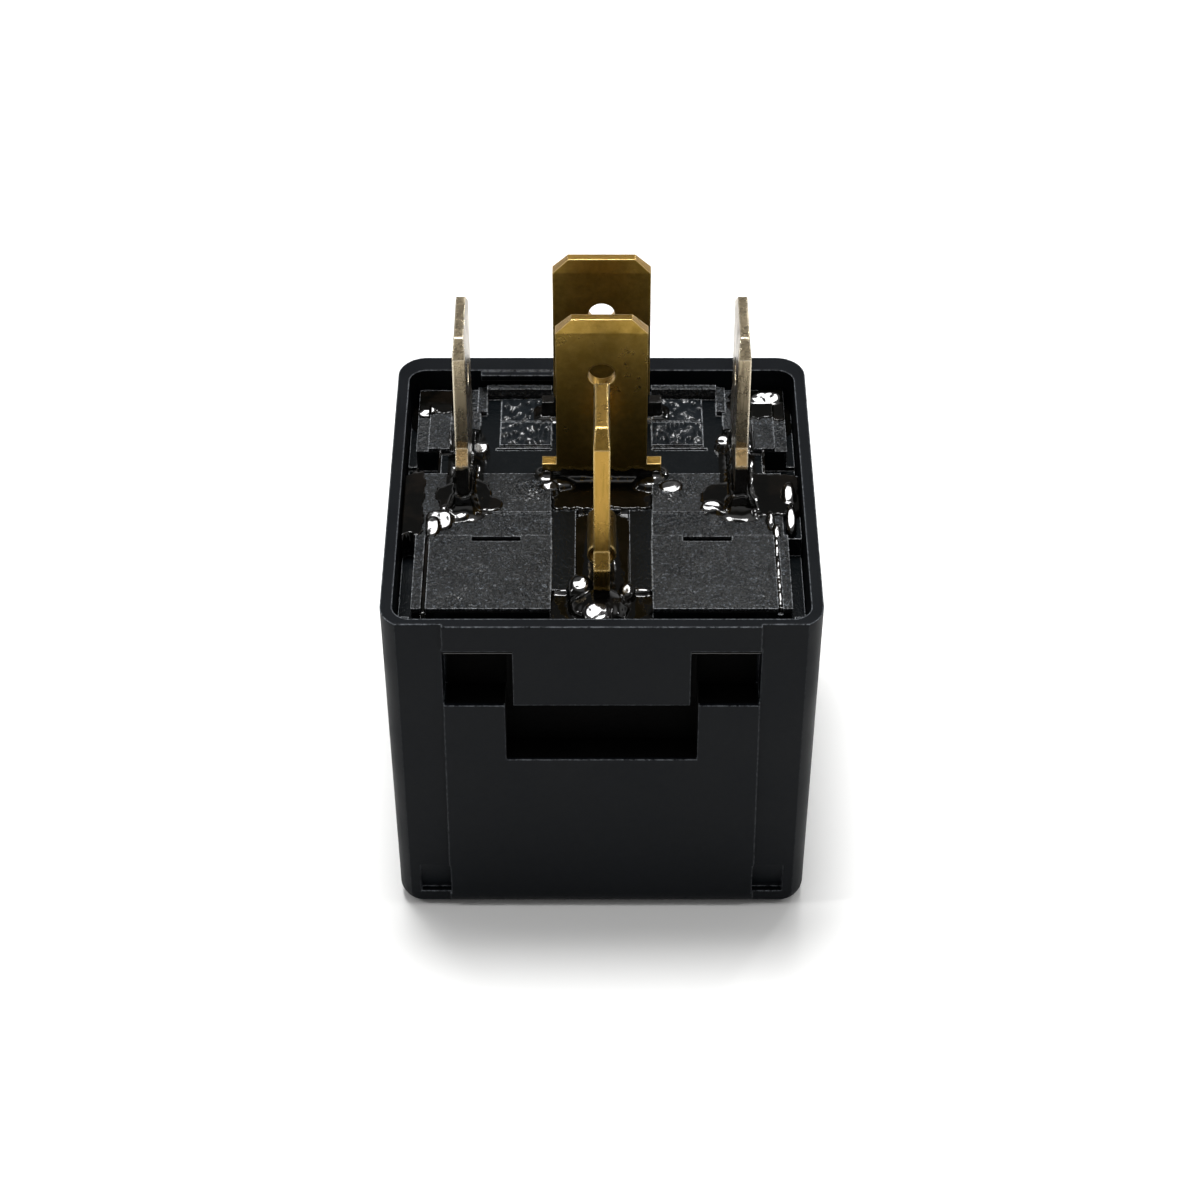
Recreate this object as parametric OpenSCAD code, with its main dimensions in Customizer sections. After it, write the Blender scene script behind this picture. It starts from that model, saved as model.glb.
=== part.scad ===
// Plug-in automotive relay, mini cube size, five blades (30, 85, 86, 87, 87a).
// It stands on the closed end of its cover with the blades pointing up.
// Millimetres. Origin: middle of the closed end. X to the right, Y to the back.

/* [Cover] */
// Width of the cover at its rim, left to right
cover_w = 27; // [26.5:0.1:30]
// Wall of the cover around the mechanism
cover_wall = 1.2; // [0.8:0.1:1.6]
// Wall of the thinned rim around the base
rim_wall = 0.75; // [0.6:0.05:0.9]
// Wall of the cover at the back, rim and body
rim_back = 1.4; // [1.2:0.05:1.5]
// Thickness of the closed end
floor_t = 1; // [0.8:0.1:1.6]
// Slope of each side, as the distance it goes in at the closed end
draft = 0.3; // [0.1:0.05:0.6]
// Radius of the four upright edges at the rim
corner_r = 1.9; // [1.6:0.1:3]
// Radius of the edges round the closed end
end_r = 1.2; // [0.6:0.1:1.4]
// Depth of the rim above the base
rim_depth = 1.25; // [0.8:0.05:2]
// Ledge inside the back of the rim: distance of its near end from the middle
ledge_near = 3.2; // [3:0.1:4]
// Distance of the ledge's far end from the middle
ledge_far = 8; // [6:0.1:9]
// How far the ledge reaches in over the base
ledge_out = 0.45; // [0.2:0.05:0.5]

/* [Front panel and bracket pocket] */
// How far the panel stands out from the front face
panel_out = 0.25; // [0.1:0.05:0.4]
// Half of the panel's width
panel_half = 9.7; // [8:0.1:10.4]
// How much wider the panel is at the closed end, on each side
panel_flare = 0.2; // [0.05:0.05:0.4]
// Depth of the bracket pocket
pocket_depth = 2.2; // [1.5:0.1:2.4]
// Wall behind and around the pocket
pocket_wall = 0.55; // [0.4:0.05:0.7]
// How far the roofs of the two upper windows slope down towards the inside
roof_drop = 1.3; // [0.8:0.1:1.6]
// Distance from the rim to the top of the two upper windows
window_drop = 2.05; // [1.6:0.05:3]
// Height of the two upper windows
window_h = 4.5; // [3:0.1:5]
// Height of the lower slot
slot_h = 4.75; // [3:0.05:5]
// Half of the lower slot's width
slot_half = 5.98; // [4:0.02:7]
// Half of the width of the tongue between the windows
tongue_half = 5.45; // [3:0.05:5.8]
// How far the tongue's side steps lie behind the panel
step_in = 0.9; // [0.4:0.1:1.4]

/* [Small notches at the closed end] */
// Width of each notch
notch_w = 2; // [1:0.1:2.2]
// Height of each notch
notch_h = 2.6; // [1:0.1:3]
// Height of the notch's ledge above the closed end
notch_z = 1.3; // [1.2:0.05:2.5]
// Depth of the notch at its ledge
notch_depth = 0.45; // [0.3:0.05:0.5]

/* [Base] */
// Thickness of the base plate
plate_t = 2.6; // [2.5:0.1:3.4]
// Height of the skirt below the plate
skirt_h = 1.65; // [0.8:0.05:2]
// Thickness of the skirt
skirt_t = 1; // [0.8:0.05:1.05]
// Running gap between the base and the rim
base_fit = 0.1; // [0.05:0.01:0.12]
// Drop from the raised pads to the plain face of the base
pad_h = 0.5; // [0.3:0.05:0.7]
// Half width of the channel down the middle
channel_half = 3.15; // [2.9:0.05:3.25]
// Half width of the deeper trough in the channel
trough_half = 1.65; // [1.1:0.05:2]
// Depth of the trough below the channel
trough_depth = 0.4; // [0.2:0.05:0.6]
// Back edge of the two front pads
pad_line_y = -3.4; // [-3.6:0.1:-3.2]
// Back edge of the lower strips behind the front pads
low_line_y = -1.15; // [-1.3:0.05:-1]
// Near end of the short slot at the front pad's back edge
pad_slot_near = 5.1; // [4:0.1:6]
// Far end of that slot
pad_slot_far = 8.2; // [7:0.1:9]
// Width of that slot
pad_slot_w = 0.6; // [0.4:0.05:0.8]
// Width of the long slot between the side wall and the rim
side_slot_w = 0.92; // [0.6:0.02:1]
// Thickness of the side wall beside the front pad
side_wall_t = 0.6; // [0.5:0.05:0.8]
// Resin-filled gap between the front pad and the side wall
side_gap = 0.28; // [0.2:0.02:0.4]
// Depth of the slots and wells
well_depth = 1.9; // [1.4:0.1:2.1]
// Length of the square wells, from the base's side inwards
well_w = 2.2; // [1.8:0.1:2.4]
// Near side of the corner blocks at the back
corner_near = 8; // [7.8:0.1:8.2]
// Front face of the corner blocks, from the coil blades' middle
corner_front = 2.3; // [2:0.1:2.6]
// Far side of the two low blocks beside blade 87
block_far = 6.65; // [6:0.05:7]
// Length of each low block, front to back
block_l = 2.4; // [2:0.05:2.6]
// Front of the low blocks, from the coil blades' middle
block_front = 3.15; // [2.9:0.05:3.3]
// Thickness of the posts at the ends of the back bar
post_t = 0.6; // [0.4:0.05:0.8]
// Thickness of the back bar
bar_t = 0.45; // [0.3:0.05:0.5]
// Height of the back bar above the pads
bar_h = 0.4; // [0.2:0.05:0.6]
// Depth of the resin pool in front of blade 30, below the plain face
pool_depth = 0.35; // [0.2:0.05:0.5]
// Distance from blade 30's middle to the pool
pool_y = 2.2; // [2:0.1:2.6]
// Distance from blade 30's middle to the trough's front end
trough_front = 2.7; // [2.4:0.1:3]
// Distance from blade 87a to the trough's back end
trough_back = 3.3; // [3:0.1:3.6]
// How far the roots' slots run below the base
slot_run = 3; // [2.5:0.1:3.5]
// Gap between a blade's root and its slot
root_fit = 0.03; // [0.01:0.01:0.06]

/* [Blades] */
// Thickness of the blades and their strips
blade_t = 0.8; // [0.6:0.05:0.9]
// Thickness of the heavier blade 30
heavy_t = 1; // [0.8:0.05:1.1]
// Width of a blade
blade_w = 6.3; // [5.2:0.1:6.4]
// Width of the narrow middle blade
narrow_w = 5.8; // [4.8:0.1:6.3]
// Width of the shoulder below a blade
shoulder_w = 7.9; // [7:0.1:8]
// How far the blades stand above the rim
blade_out = 11; // [9:0.1:12]
// Chamfer of the blade's two corners
tip_chamfer = 1; // [0.5:0.05:1.4]
// Length of the lead-in slopes at the tip
lead_in = 0.95; // [0.5:0.05:1.4]
// Thickness of the tip between the lead-in slopes
tip_t = 0.58; // [0.4:0.02:0.6]
// Radius of the detent hole
detent_r = 0.85; // [0.6:0.05:1]
// Distance from the tip to the middle of the detent hole
detent_drop = 4.2; // [3:0.1:5.5]
// Inside radius of the bends in the strips
bend_r = 0.35; // [0.2:0.05:0.38]
// Height of the shoulders of blades 87 and 87a above the rim
low_shoulder = -0.35; // [-0.5:0.05:0.2]
// Height of the shoulder of blade 30 above the rim
mid_shoulder = 2.15; // [1.8:0.05:2.6]
// Height of the shoulders of blades 85 and 86 above the rim
high_shoulder = 3.1; // [2.6:0.05:3.6]
// Radius of the swaged bead across blade 30
bead_r = 0.9; // [0.6:0.05:1.1]
// Drop from blade 30's shoulder to the middle of the bead
bead_drop = 1.1; // [0.9:0.05:1.3]
// Wall and depth of the hollow in the bead's front end
bead_lip = 0.22; // [0.15:0.01:0.3]
// Length of the bead
bead_l = 3.5; // [2:0.1:4.5]
// Length of blade 30's foot past its bend
foot_l = 2.3; // [1.8:0.1:2.4]
// How far the coil blades' tails reach below the bobbin's top
tail_l = 0.8; // [0.5:0.05:1]

/* [Blade places] */
// Distance from the middle to blades 85 and 86
coil_blade_x = 8.8; // [8.4:0.05:9.2]
// Place of blades 85, 86 and 87a, front to back
mid_blade_y = 3; // [2.9:0.05:3.1]
// Place of blade 30, front to back
front_blade_y = -5.9; // [-6.1:0.05:-5.7]
// Place of blade 87, front to back
back_blade_y = 9.45; // [9.3:0.05:9.5]

/* [Magnet] */
// Radius of the coil winding
coil_r = 5.6; // [5:0.1:6]
// Radius of the iron core
core_r = 2.5; // [2:0.1:3]
// Length of the bobbin
bobbin_l = 11.15; // [9:0.05:13]
// Thickness of the bobbin's flanges
flange_t = 0.8; // [0.5:0.05:1.2]
// How far the flanges stand out past the winding
flange_lip = 0.5; // [0.45:0.05:0.8]
// Thickness of the bobbin's tube
tube_t = 0.65; // [0.4:0.05:0.9]
// Thickness of the insulating wrap round the winding
wrap_t = 0.1; // [0.05:0.01:0.12]
// Thickness of the steel yoke
yoke_t = 1.5; // [1.2:0.1:1.8]
// Inside radius of the yoke's bend
yoke_bend_r = 0.5; // [0.3:0.05:0.8]
// Half of the yoke's width
yoke_half = 6; // [5:0.1:6.4]
// Distance from the middle to the yoke's outer face
yoke_out = 9.3; // [9.1:0.05:9.4]
// Distance from the middle to the yoke's two rivets
yoke_rivet_x = 2.4; // [2:0.1:2.8]
// Height of the yoke's rivets above the hinge
rivet_up = 3.2; // [2.8:0.1:3.6]
// Radius of the core's pole shoe
pole_r = 3.8; // [3:0.1:4.5]
// Thickness of the pole shoe
pole_t = 0.9; // [0.6:0.05:1.4]
// Diameter of the enamelled wire leads
lead_d = 0.3; // [0.2:0.02:0.34]

/* [Armature and contacts] */
// Thickness of the armature
arm_t = 1.2; // [1:0.05:1.6]
// Distance from the middle to the armature's two rivets
arm_rivet_x = 2.6; // [2.2:0.1:3]
// Half width of the armature at its free end
arm_end_half = 4.4; // [4:0.1:5]
// Tilt of the armature when the coil is off, in degrees
rest_tilt = 2.5; // [1.8:0.1:3]
// Thickness of the leaf spring
spring_t = 0.25; // [0.15:0.01:0.3]
// Half of the spring's width at the yoke
spring_half = 4.2; // [3:0.1:5]
// Half of the spring's width at the contact
spring_end_half = 1.9; // [1.7:0.1:2.4]
// Radius of the contact faces
contact_r = 1.5; // [1.1:0.05:1.6]
// Height of the fixed contacts
button_h = 0.6; // [0.4:0.05:0.9]
// Height of each face of the moving contact
head_h = 0.5; // [0.35:0.05:0.7]
// Distance from the bobbin's flange to the middle of the contacts
contact_reach = 3.4; // [2.9:0.05:3.6]
// Gap left between touching pieces that move
touch_gap = 0.03; // [0.02:0.01:0.05]
// Gap between the lower contact strip and the closed end
floor_gap = 0.62; // [0.3:0.02:1]
// Radius of the rivets' shanks
rivet_r = 0.8; // [0.6:0.05:0.9]
// Radius of the rivets' heads
rivet_head_r = 1.3; // [1.1:0.05:1.5]
// Height of the rivets' heads
rivet_head_h = 0.4; // [0.25:0.05:0.45]
// Gap between the back of the strips and the cover's wall
strip_gap = 0.9; // [0.5:0.05:1.2]
// Room above the yoke for the strips and their bends
foot_room = 0.92; // [0.85:0.01:1.3]

/* [Hidden] */
$fn = 48;
// Front to back through the mechanism
yoke_in = -yoke_out + yoke_t;
flange_r = coil_r + wrap_t + flange_lip;
coil_y = yoke_in + yoke_bend_r + flange_r;
contact_y = coil_y + flange_r + contact_reach;
strip_y = contact_y + contact_r + 0.6;
inner_half_d = strip_y + blade_t + strip_gap;
cover_d = 2 * (inner_half_d + cover_wall);
inner_half_w = cover_w / 2 - cover_wall;
hinge_y = -yoke_out;
spring_in_r = 1;
// Upwards through the mechanism
nc_foot_z = floor_t + floor_gap;
nc_face_z = nc_foot_z + blade_t + button_h;
drop = (contact_y - hinge_y + contact_r) * sin(rest_tilt);
hinge_z = nc_face_z + touch_gap + (head_h + spring_t + arm_t) * cos(rest_tilt) + drop;
pole_z = hinge_z + touch_gap;
bobbin_z = pole_z + pole_t;
bobbin_top = bobbin_z + bobbin_l;
yoke_top = bobbin_top + yoke_t;
base_under = yoke_top + blade_t + foot_room;
base_top = base_under + plate_t;
cover_h = base_top + rim_depth;
seat_z = base_under - skirt_h;
no_face_z = hinge_z - arm_t + head_h + touch_gap;
no_foot_z = no_face_z + button_h;
run_z = base_under - bend_r - blade_t - 0.25;
root_end = base_under - 0.15;
shoulder_fall = (shoulder_w - blade_w) / 2;
plain_z = base_top - pad_h;
tip_z = cover_h + blade_out;
// How far a side's slope starts inside its end rounding, so that the two cross cleanly
tuck = 0.002;
// Outlines
half_w = cover_w / 2;
half_d = cover_d / 2;
rim_half_w = half_w - rim_wall;
rim_half_d = half_d - rim_wall;
rim_back_y = half_d - rim_back;
base_half_w = rim_half_w - base_fit;
base_half_d = rim_half_d - base_fit;
base_back_y = rim_back_y - base_fit;
side_wall_out = base_half_w - side_slot_w;
side_wall_in = side_wall_out - side_wall_t;
corner_front_y = mid_blade_y + corner_front;
block_y = mid_blade_y + block_front;
block_end_y = block_y + 2 * block_l + 0.1;
bar_y = block_end_y + 0.1;
window_top = cover_h - window_drop;
window_bottom = window_top - window_h;
slot_bottom = window_bottom - slot_h;
pocket_back = -half_d + pocket_depth + pocket_wall;
pad_front = pocket_back + 0.35;
black = [0.09, 0.09, 0.1];
dark_base = [0.13, 0.13, 0.14];
epoxy = [0.05, 0.035, 0.03];
brass = [0.66, 0.53, 0.26];
tin = [0.74, 0.72, 0.67];
steel = [0.62, 0.63, 0.65];
silver = [0.86, 0.86, 0.84];
copper = [0.72, 0.34, 0.16];

// ---------- helpers ----------
// A box from its two corners
module span(a, b) {
    translate(a) cube([b[0] - a[0], b[1] - a[1], b[2] - a[2]]);
}

// The same box on the right and, mirrored, on the left
module pair(a, b) {
    span(a, b);
    mirror([1, 0, 0]) span(a, b);
}

// Stand a profile drawn in depth and height up, and run it from x0 to x1
module along_x(x0, x1) {
    translate([x0, 0, 0]) rotate([90, 0, 90]) linear_extrude(x1 - x0) children();
}

// Stand a profile drawn in width and height up, and run it from y0 to y1
module along_y(y0, y1) {
    translate([0, y1, 0]) rotate([90, 0, 0]) linear_extrude(y1 - y0) children();
}

// Quarter of a flat ring, used for bent sheet
module quarter_ring(r, t) {
    intersection() {
        difference() {
            circle(r + t);
            circle(r);
        }
        square(r + t);
    }
}

// Turn a closed armature's piece to its rest position
module at_rest() {
    translate([0, hinge_y, hinge_z]) rotate([-rest_tilt, 0, 0])
        translate([0, -hinge_y, -hinge_z]) children();
}

// ---------- cover ----------
// Side view of the cover: sloped sides with a rounded closed end
module cover_profile(top_half, r) {
    low = top_half - draft;
    at_r = low + draft * r / cover_h;
    polygon([[-at_r + tuck, r], [at_r - tuck, r], [top_half, cover_h], [-top_half, cover_h]]);
    translate([-(at_r - r), 0]) square([2 * (at_r - r), r]);
    translate([-(at_r - r), r]) circle(r);
    translate([at_r - r, r]) circle(r);
}

// One upright corner, turned round its own axis
module cover_corner() {
    low = corner_r - draft;
    at_r = low + draft * end_r / cover_h;
    rotate_extrude() {
        polygon([[0, end_r], [at_r - tuck, end_r], [corner_r, cover_h], [0, cover_h]]);
        square([at_r - end_r, end_r]);
        intersection() {
            translate([at_r - end_r, end_r]) circle(end_r);
            square([at_r + end_r, end_r + 0.3]);
        }
    }
}

// What is cut away outside one upright corner
module corner_cut() {
    translate([half_w - corner_r, half_d - corner_r, 0]) difference() {
        translate([0, 0, -1]) cube([corner_r + 1, corner_r + 1, cover_h + 2]);
        cover_corner();
    }
}

// What is cut away in front, right of the panel, so that the panel stands out
module panel_side_cut() {
    front = half_d - panel_out;
    slope = draft / cover_h;
    translate([panel_half, 0, cover_h]) rotate([0, -atan(panel_flare / cover_h), 0])
        translate([-panel_half, 0, -cover_h])
        along_x(panel_half, half_w + 1)
            polygon([[-half_d - 1, -1], [-front + draft + slope, -1], [-front - slope, cover_h + 1],
                [-half_d - 1, cover_h + 1]]);
}

// The outside of the cover: two sloped blocks crossed, corners rounded
module cover_outside() {
    difference() {
        intersection() {
            along_y(-half_d - 1, half_d + 1) cover_profile(half_w, end_r);
            along_x(-half_w - 1, half_w + 1) cover_profile(half_d, end_r);
        }
        for (sx = [0, 1], sy = [0, 1])
            mirror([sx, 0, 0]) mirror([0, sy, 0]) corner_cut();
        panel_side_cut();
        mirror([1, 0, 0]) panel_side_cut();
    }
}

// The space inside the cover, with its seat for the base
module cover_inside() {
    span([-inner_half_w, -inner_half_d, floor_t], [inner_half_w, rim_back_y, seat_z + 0.1]);
    rim_room();
}

// The wider space above the seat
module rim_room() {
    r = corner_r - rim_wall;
    w = rim_half_w;
    d = rim_half_d;
    b = rim_back_y;
    span([-(w - r), -d, seat_z], [w - r, b, cover_h + 1]);
    span([-w, -(d - r), seat_z], [w, b - r, cover_h + 1]);
    for (sx = [-1, 1], y = [-(d - r), b - r])
        translate([sx * (w - r), y, seat_z]) cylinder(r = r, h = cover_h + 1 - seat_z);
}

// The bracket pocket: two windows joined by a slot, with stepped sides on the tongue
module pocket_cut() {
    y0 = -half_d - 1;
    y1 = -half_d + pocket_depth;
    span([-slot_half, y0, slot_bottom], [slot_half, y1, window_bottom]);
    for (m = [0, 1])
        mirror([m, 0, 0]) along_x(slot_half - 0.15, panel_half + 0.06)
            polygon([[y0, window_bottom - 0.05], [y1, window_bottom - 0.05],
                [y1, window_top - roof_drop], [-half_d + rim_wall, window_top], [y0, window_top]]);
    pair([tongue_half, y0, window_bottom - 0.05], [slot_half - 0.1, -half_d + step_in, window_top]);
}

// The walls that close the pocket on the inside
module pocket_shell() {
    y0 = -half_d + 0.5;
    x1 = panel_half + pocket_wall;
    span([-slot_half - pocket_wall, y0, slot_bottom - pocket_wall],
        [slot_half + pocket_wall, pocket_back, window_bottom + pocket_wall]);
    // Over the windows the shell follows their sloping roofs
    fall = roof_drop / (pocket_depth - rim_wall);
    lift = pocket_wall * sqrt(1 + fall * fall);
    y2 = -half_d + rim_wall;
    for (m = [0, 1])
        mirror([m, 0, 0]) along_x(slot_half - pocket_wall, x1)
            polygon([[y0, window_bottom - pocket_wall], [pocket_back, window_bottom - pocket_wall],
                [pocket_back, window_top + lift - fall * (pocket_back - y2)], [y2, window_top + lift],
                    [y0, window_top + lift]]);
}

// One of the small notches beside the panel
module notch_cut() {
    y = -half_d + panel_out + draft * (1 - notch_z / cover_h);
    along_x(panel_half + 0.1, panel_half + 0.1 + notch_w)
        polygon([[y - 1, notch_z], [y + notch_depth, notch_z], [y + notch_depth, notch_z + 0.3],
            [y - 0.05, notch_z + notch_h], [y - 1, notch_z + notch_h]]);
}

module cover() {
    color(black) difference() {
        union() {
            difference() {
                cover_outside();
                cover_inside();
            }
            pocket_shell();
            // Ledge that holds the back edge of the base
            span([-ledge_far, rim_back_y - ledge_out, cover_h - 0.55],
                [-ledge_near, rim_back_y + 0.1, cover_h - 0.1]);
        }
        pocket_cut();
        notch_cut();
        mirror([1, 0, 0]) notch_cut();
    }
}

// ---------- blades ----------
// Flat shape of a blade: tip, sides, shoulders that fall by a given height, and root
module blade_shape(w, shoulder_z, fall) {
    s = shoulder_w / 2 - (blade_w - w) / 4;
    h = w / 2;
    c = tip_chamfer;
    polygon([[-s, root_end], [-s, shoulder_z - fall], [-h, shoulder_z], [-h, tip_z - c], [-h + c, tip_z],
        [h - c, tip_z], [h, tip_z - c], [h, shoulder_z], [s, shoulder_z - fall], [s, root_end]]);
}

// A blade with lead-in slopes and its detent hole; its width runs along x
module blade(w, shoulder_z, fall, thick) {
    t = thick / 2;
    e = t - (blade_t - tip_t) / 2;
    difference() {
        intersection() {
            along_y(-t, t) blade_shape(w, shoulder_z, fall);
            along_x(-shoulder_w, shoulder_w)
                polygon([[-t, root_end - 1], [t, root_end - 1], [t, tip_z - lead_in], [e, tip_z + 0.01],
                    [-e, tip_z + 0.01], [-t, tip_z - lead_in]]);
        }
        translate([0, -thick, tip_z - detent_drop]) rotate([-90, 0, 0])
            cylinder(r = detent_r, h = 2 * thick);
    }
}

// Side view of a strip that leaves a blade's root, runs to the back and goes down to a foot
module strip_profile(root_y, foot_z, foot_y) {
    t = blade_t;
    y0 = root_y + t / 2 + bend_r;
    y1 = strip_y - bend_r;
    z1 = run_z - bend_r;
    z2 = foot_z + t + bend_r;
    translate([root_y - t / 2, run_z + t + bend_r]) square([t, base_under - 0.03 - run_z - t - bend_r]);
    translate([y0, run_z + t + bend_r]) rotate(180) quarter_ring(bend_r, t);
    translate([y0, run_z]) square([max(y1 - y0, 0.01), t]);
    translate([y1, z1]) quarter_ring(bend_r, t);
    translate([strip_y, z2]) square([t, z1 - z2]);
    translate([y1, z2]) rotate(-90) quarter_ring(bend_r, t);
    translate([foot_y, foot_z]) square([y1 - foot_y, t]);
}

// Strip between a blade's root and its fixed contact; side is 1 for right and -1 for left
module contact_strip(root_y, foot_z, side) {
    foot_y = contact_y - contact_r - 0.3;
    x0 = 1.8;
    x1 = 5.6;
    mirror([side < 0 ? 1 : 0, 0, 0]) {
        along_x(x0, x1) strip_profile(root_y, foot_z, foot_y);
        along_x(0.3, x1) intersection() {
            strip_profile(root_y, foot_z, foot_y);
            translate([root_y - 1, run_z]) square([strip_y - bend_r - root_y + 1, 3]);
        }
        span([-contact_r - 0.2, foot_y, foot_z], [x0 + 0.01, strip_y - bend_r, foot_z + blade_t]);
    }
}

module terminal_87a() {
    color(brass) {
        translate([0, mid_blade_y, 0]) blade(narrow_w, cover_h + low_shoulder, 0, blade_t);
        contact_strip(mid_blade_y, nc_foot_z, -1);
    }
}

module terminal_87() {
    color(brass) {
        translate([0, back_blade_y, 0]) blade(blade_w, cover_h + low_shoulder, 0, blade_t);
        contact_strip(back_blade_y, no_foot_z, 1);
    }
}

// Blade 30: below the base it bends to a foot that is welded to the yoke
module terminal_30() {
    t = heavy_t;
    foot_half = 2;
    bead_z = cover_h + mid_shoulder - bead_drop;
    color(brass) {
        translate([0, front_blade_y, 0]) rotate([0, 0, 90])
            blade(blade_w, cover_h + mid_shoulder, shoulder_fall, t);
        translate([0, front_blade_y - bead_l / 2 - 0.35, bead_z]) rotate([-90, 0, 0]) difference() {
            cylinder(r = bead_r, h = bead_l);
            translate([0, 0, -1]) cylinder(r = bead_r - bead_lip, h = 1 + bead_lip);
        }
        along_y(front_blade_y - foot_half, front_blade_y + foot_half) {
            translate([-t / 2, yoke_top + t + bend_r])
                square([t, base_under - 0.03 - yoke_top - t - bend_r]);
            translate([t / 2 + bend_r, yoke_top + t + bend_r]) rotate(180) quarter_ring(bend_r, t);
            translate([t / 2 + bend_r, yoke_top]) square([foot_l, t]);
        }
    }
}

// A coil blade: below the base it narrows to a tail for the wire
module coil_terminal(side) {
    tail_half = 1.3;
    tail_z = bobbin_top - tail_l;
    color(tin) translate([side * coil_blade_x, mid_blade_y, 0]) rotate([0, 0, 90]) {
        blade(blade_w, cover_h + high_shoulder, shoulder_fall, blade_t);
        span([-tail_half, -blade_t / 2, tail_z], [tail_half, blade_t / 2, base_under + 0.1]);
    }
}

module terminal_85() {
    coil_terminal(1);
}

module terminal_86() {
    coil_terminal(-1);
}

// ---------- base ----------
// The slot for one blade's root, with its fit
module root_slot(w, thick) {
    s = w / 2 + root_fit;
    t = thick / 2 + root_fit;
    span([-s, -t, base_under - slot_run], [s, t, base_top + 1]);
}

// All five root slots
module root_slots() {
    translate([0, mid_blade_y, 0]) root_slot(shoulder_w - (blade_w - narrow_w) / 2, blade_t);
    translate([0, back_blade_y, 0]) root_slot(shoulder_w, blade_t);
    translate([0, front_blade_y, 0]) rotate([0, 0, 90]) root_slot(shoulder_w, heavy_t);
    for (side = [-1, 1])
        translate([side * coil_blade_x, mid_blade_y, 0]) rotate([0, 0, 90]) root_slot(shoulder_w, blade_t);
}

// Raised forms on the base's upper face, right half
module base_relief() {
    w = base_half_w;
    b = base_back_y;
    z0 = plain_z - 0.2;
    c = channel_half;
    // Front pad, split by a shallow line from the strip behind it
    span([c, pad_front, z0], [side_wall_in - side_gap, pad_line_y, base_top]);
    // Strip and middle pad
    span([c + 0.05, pad_line_y - 0.01, z0], [w - 1.15, low_line_y + 0.01, base_top - 0.12]);
    span([c + 0.1, low_line_y, z0], [w - 1.1, mid_blade_y - 0.25, base_top]);
    // Narrow wall beside the front pad
    span([side_wall_in, pad_front - 0.2, z0], [side_wall_out, pad_line_y, base_top]);
    // Corner block at the back with its flat pad
    span([corner_near, corner_front_y, z0], [w - 0.55, b - 0.1, base_top - 0.25]);
    span([coil_blade_x + 1.1, corner_front_y, z0], [w - 1.35, b - 1.95, base_top]);
    // Two low blocks in a column beside blade 87, and the bar behind them
    span([c + 0.15, block_y, z0], [block_far, block_y + block_l, plain_z + 0.15]);
    span([c + 0.15, block_y + block_l + 0.1, z0], [block_far, block_end_y, plain_z + 0.15]);
    span([c + 0.15, bar_y, z0], [corner_near - 0.4, bar_y + bar_t, base_top + bar_h]);
    // Post at the end of the bar
    span([corner_near - 0.4, mid_blade_y + 6.4, z0], [corner_near - 0.4 + post_t, b, base_top - 0.1]);
}

// Cuts in the base's upper face, right half
module base_cuts() {
    w = base_half_w;
    d = base_half_d;
    b = base_back_y;
    deep = base_top - well_depth;
    // Room for the bracket pocket
    span([channel_half, -d - 1, base_under - 9], [w - 0.8, pad_front, base_top + 1]);
    // Slots in and beside the pads
    span([pad_slot_near, pad_line_y - pad_slot_w, deep + 0.3], [pad_slot_far, pad_line_y, base_top + 1]);
    span([side_wall_out, pad_front - 0.2, deep], [w + 1, pad_line_y + 0.2, base_top + 1]);
    // Square well beside the coil blade, open to the rim
    span([w - well_w, mid_blade_y + 0.1, deep], [w + 1, corner_front_y + 0.05, base_top + 1]);
    // Gap along the back corner block
    span([w - 0.55, corner_front_y, deep + 0.3], [w + 1, b + 1, base_top + 1]);
    // Slot behind the bar and the line in front of the low blocks
    span([channel_half + 0.15, bar_y + bar_t, deep], [corner_near - 0.4, b + 1, base_top + 1]);
    span([channel_half + 0.15, block_y - 0.4, plain_z - 0.25],
        [block_far + 0.25, block_y - 0.2, base_top + 1]);
}

// The base without its slots
module base_body() {
    w = base_half_w;
    d = base_half_d;
    b = base_back_y;
    r = corner_r - rim_wall;
    difference() {
        union() {
            span([-(w - r), -d, base_under], [w - r, b, plain_z]);
            span([-w, -(d - r), base_under], [w, b - r, plain_z]);
            for (sx = [-1, 1], y = [-(d - r), b - r])
                translate([sx * (w - r), y, base_under]) cylinder(r = r, h = plain_z - base_under);
            base_relief();
            mirror([1, 0, 0]) base_relief();
            // Skirt on the two sides and the back
            pair([w - skirt_t, -(d - r) + 1, seat_z], [w, b - r, base_under + 0.1]);
            span([-(w - r), strip_y + blade_t + 0.1, seat_z], [w - r, b, base_under + 0.1]);
            // Posts that bear on the yoke
            for (side = [-1, 1])
                translate([side * (yoke_half - 1.3), -yoke_out + 1.6, yoke_top])
                    cylinder(r = 1.1, h = base_under + 0.1 - yoke_top);
        }
        base_cuts();
        mirror([1, 0, 0]) base_cuts();
        // Trough in the channel and the lower place for the pool in front of it
        span([-trough_half, front_blade_y - trough_front, plain_z - trough_depth],
            [trough_half + 0.1, mid_blade_y - trough_back, base_top + 1]);
        span([-channel_half, -d - 1, plain_z - pool_depth],
            [channel_half, front_blade_y - pool_y, base_top + 1]);
    }
}

module base() {
    color(dark_base) difference() {
        base_body();
        root_slots();
    }
}

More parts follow.
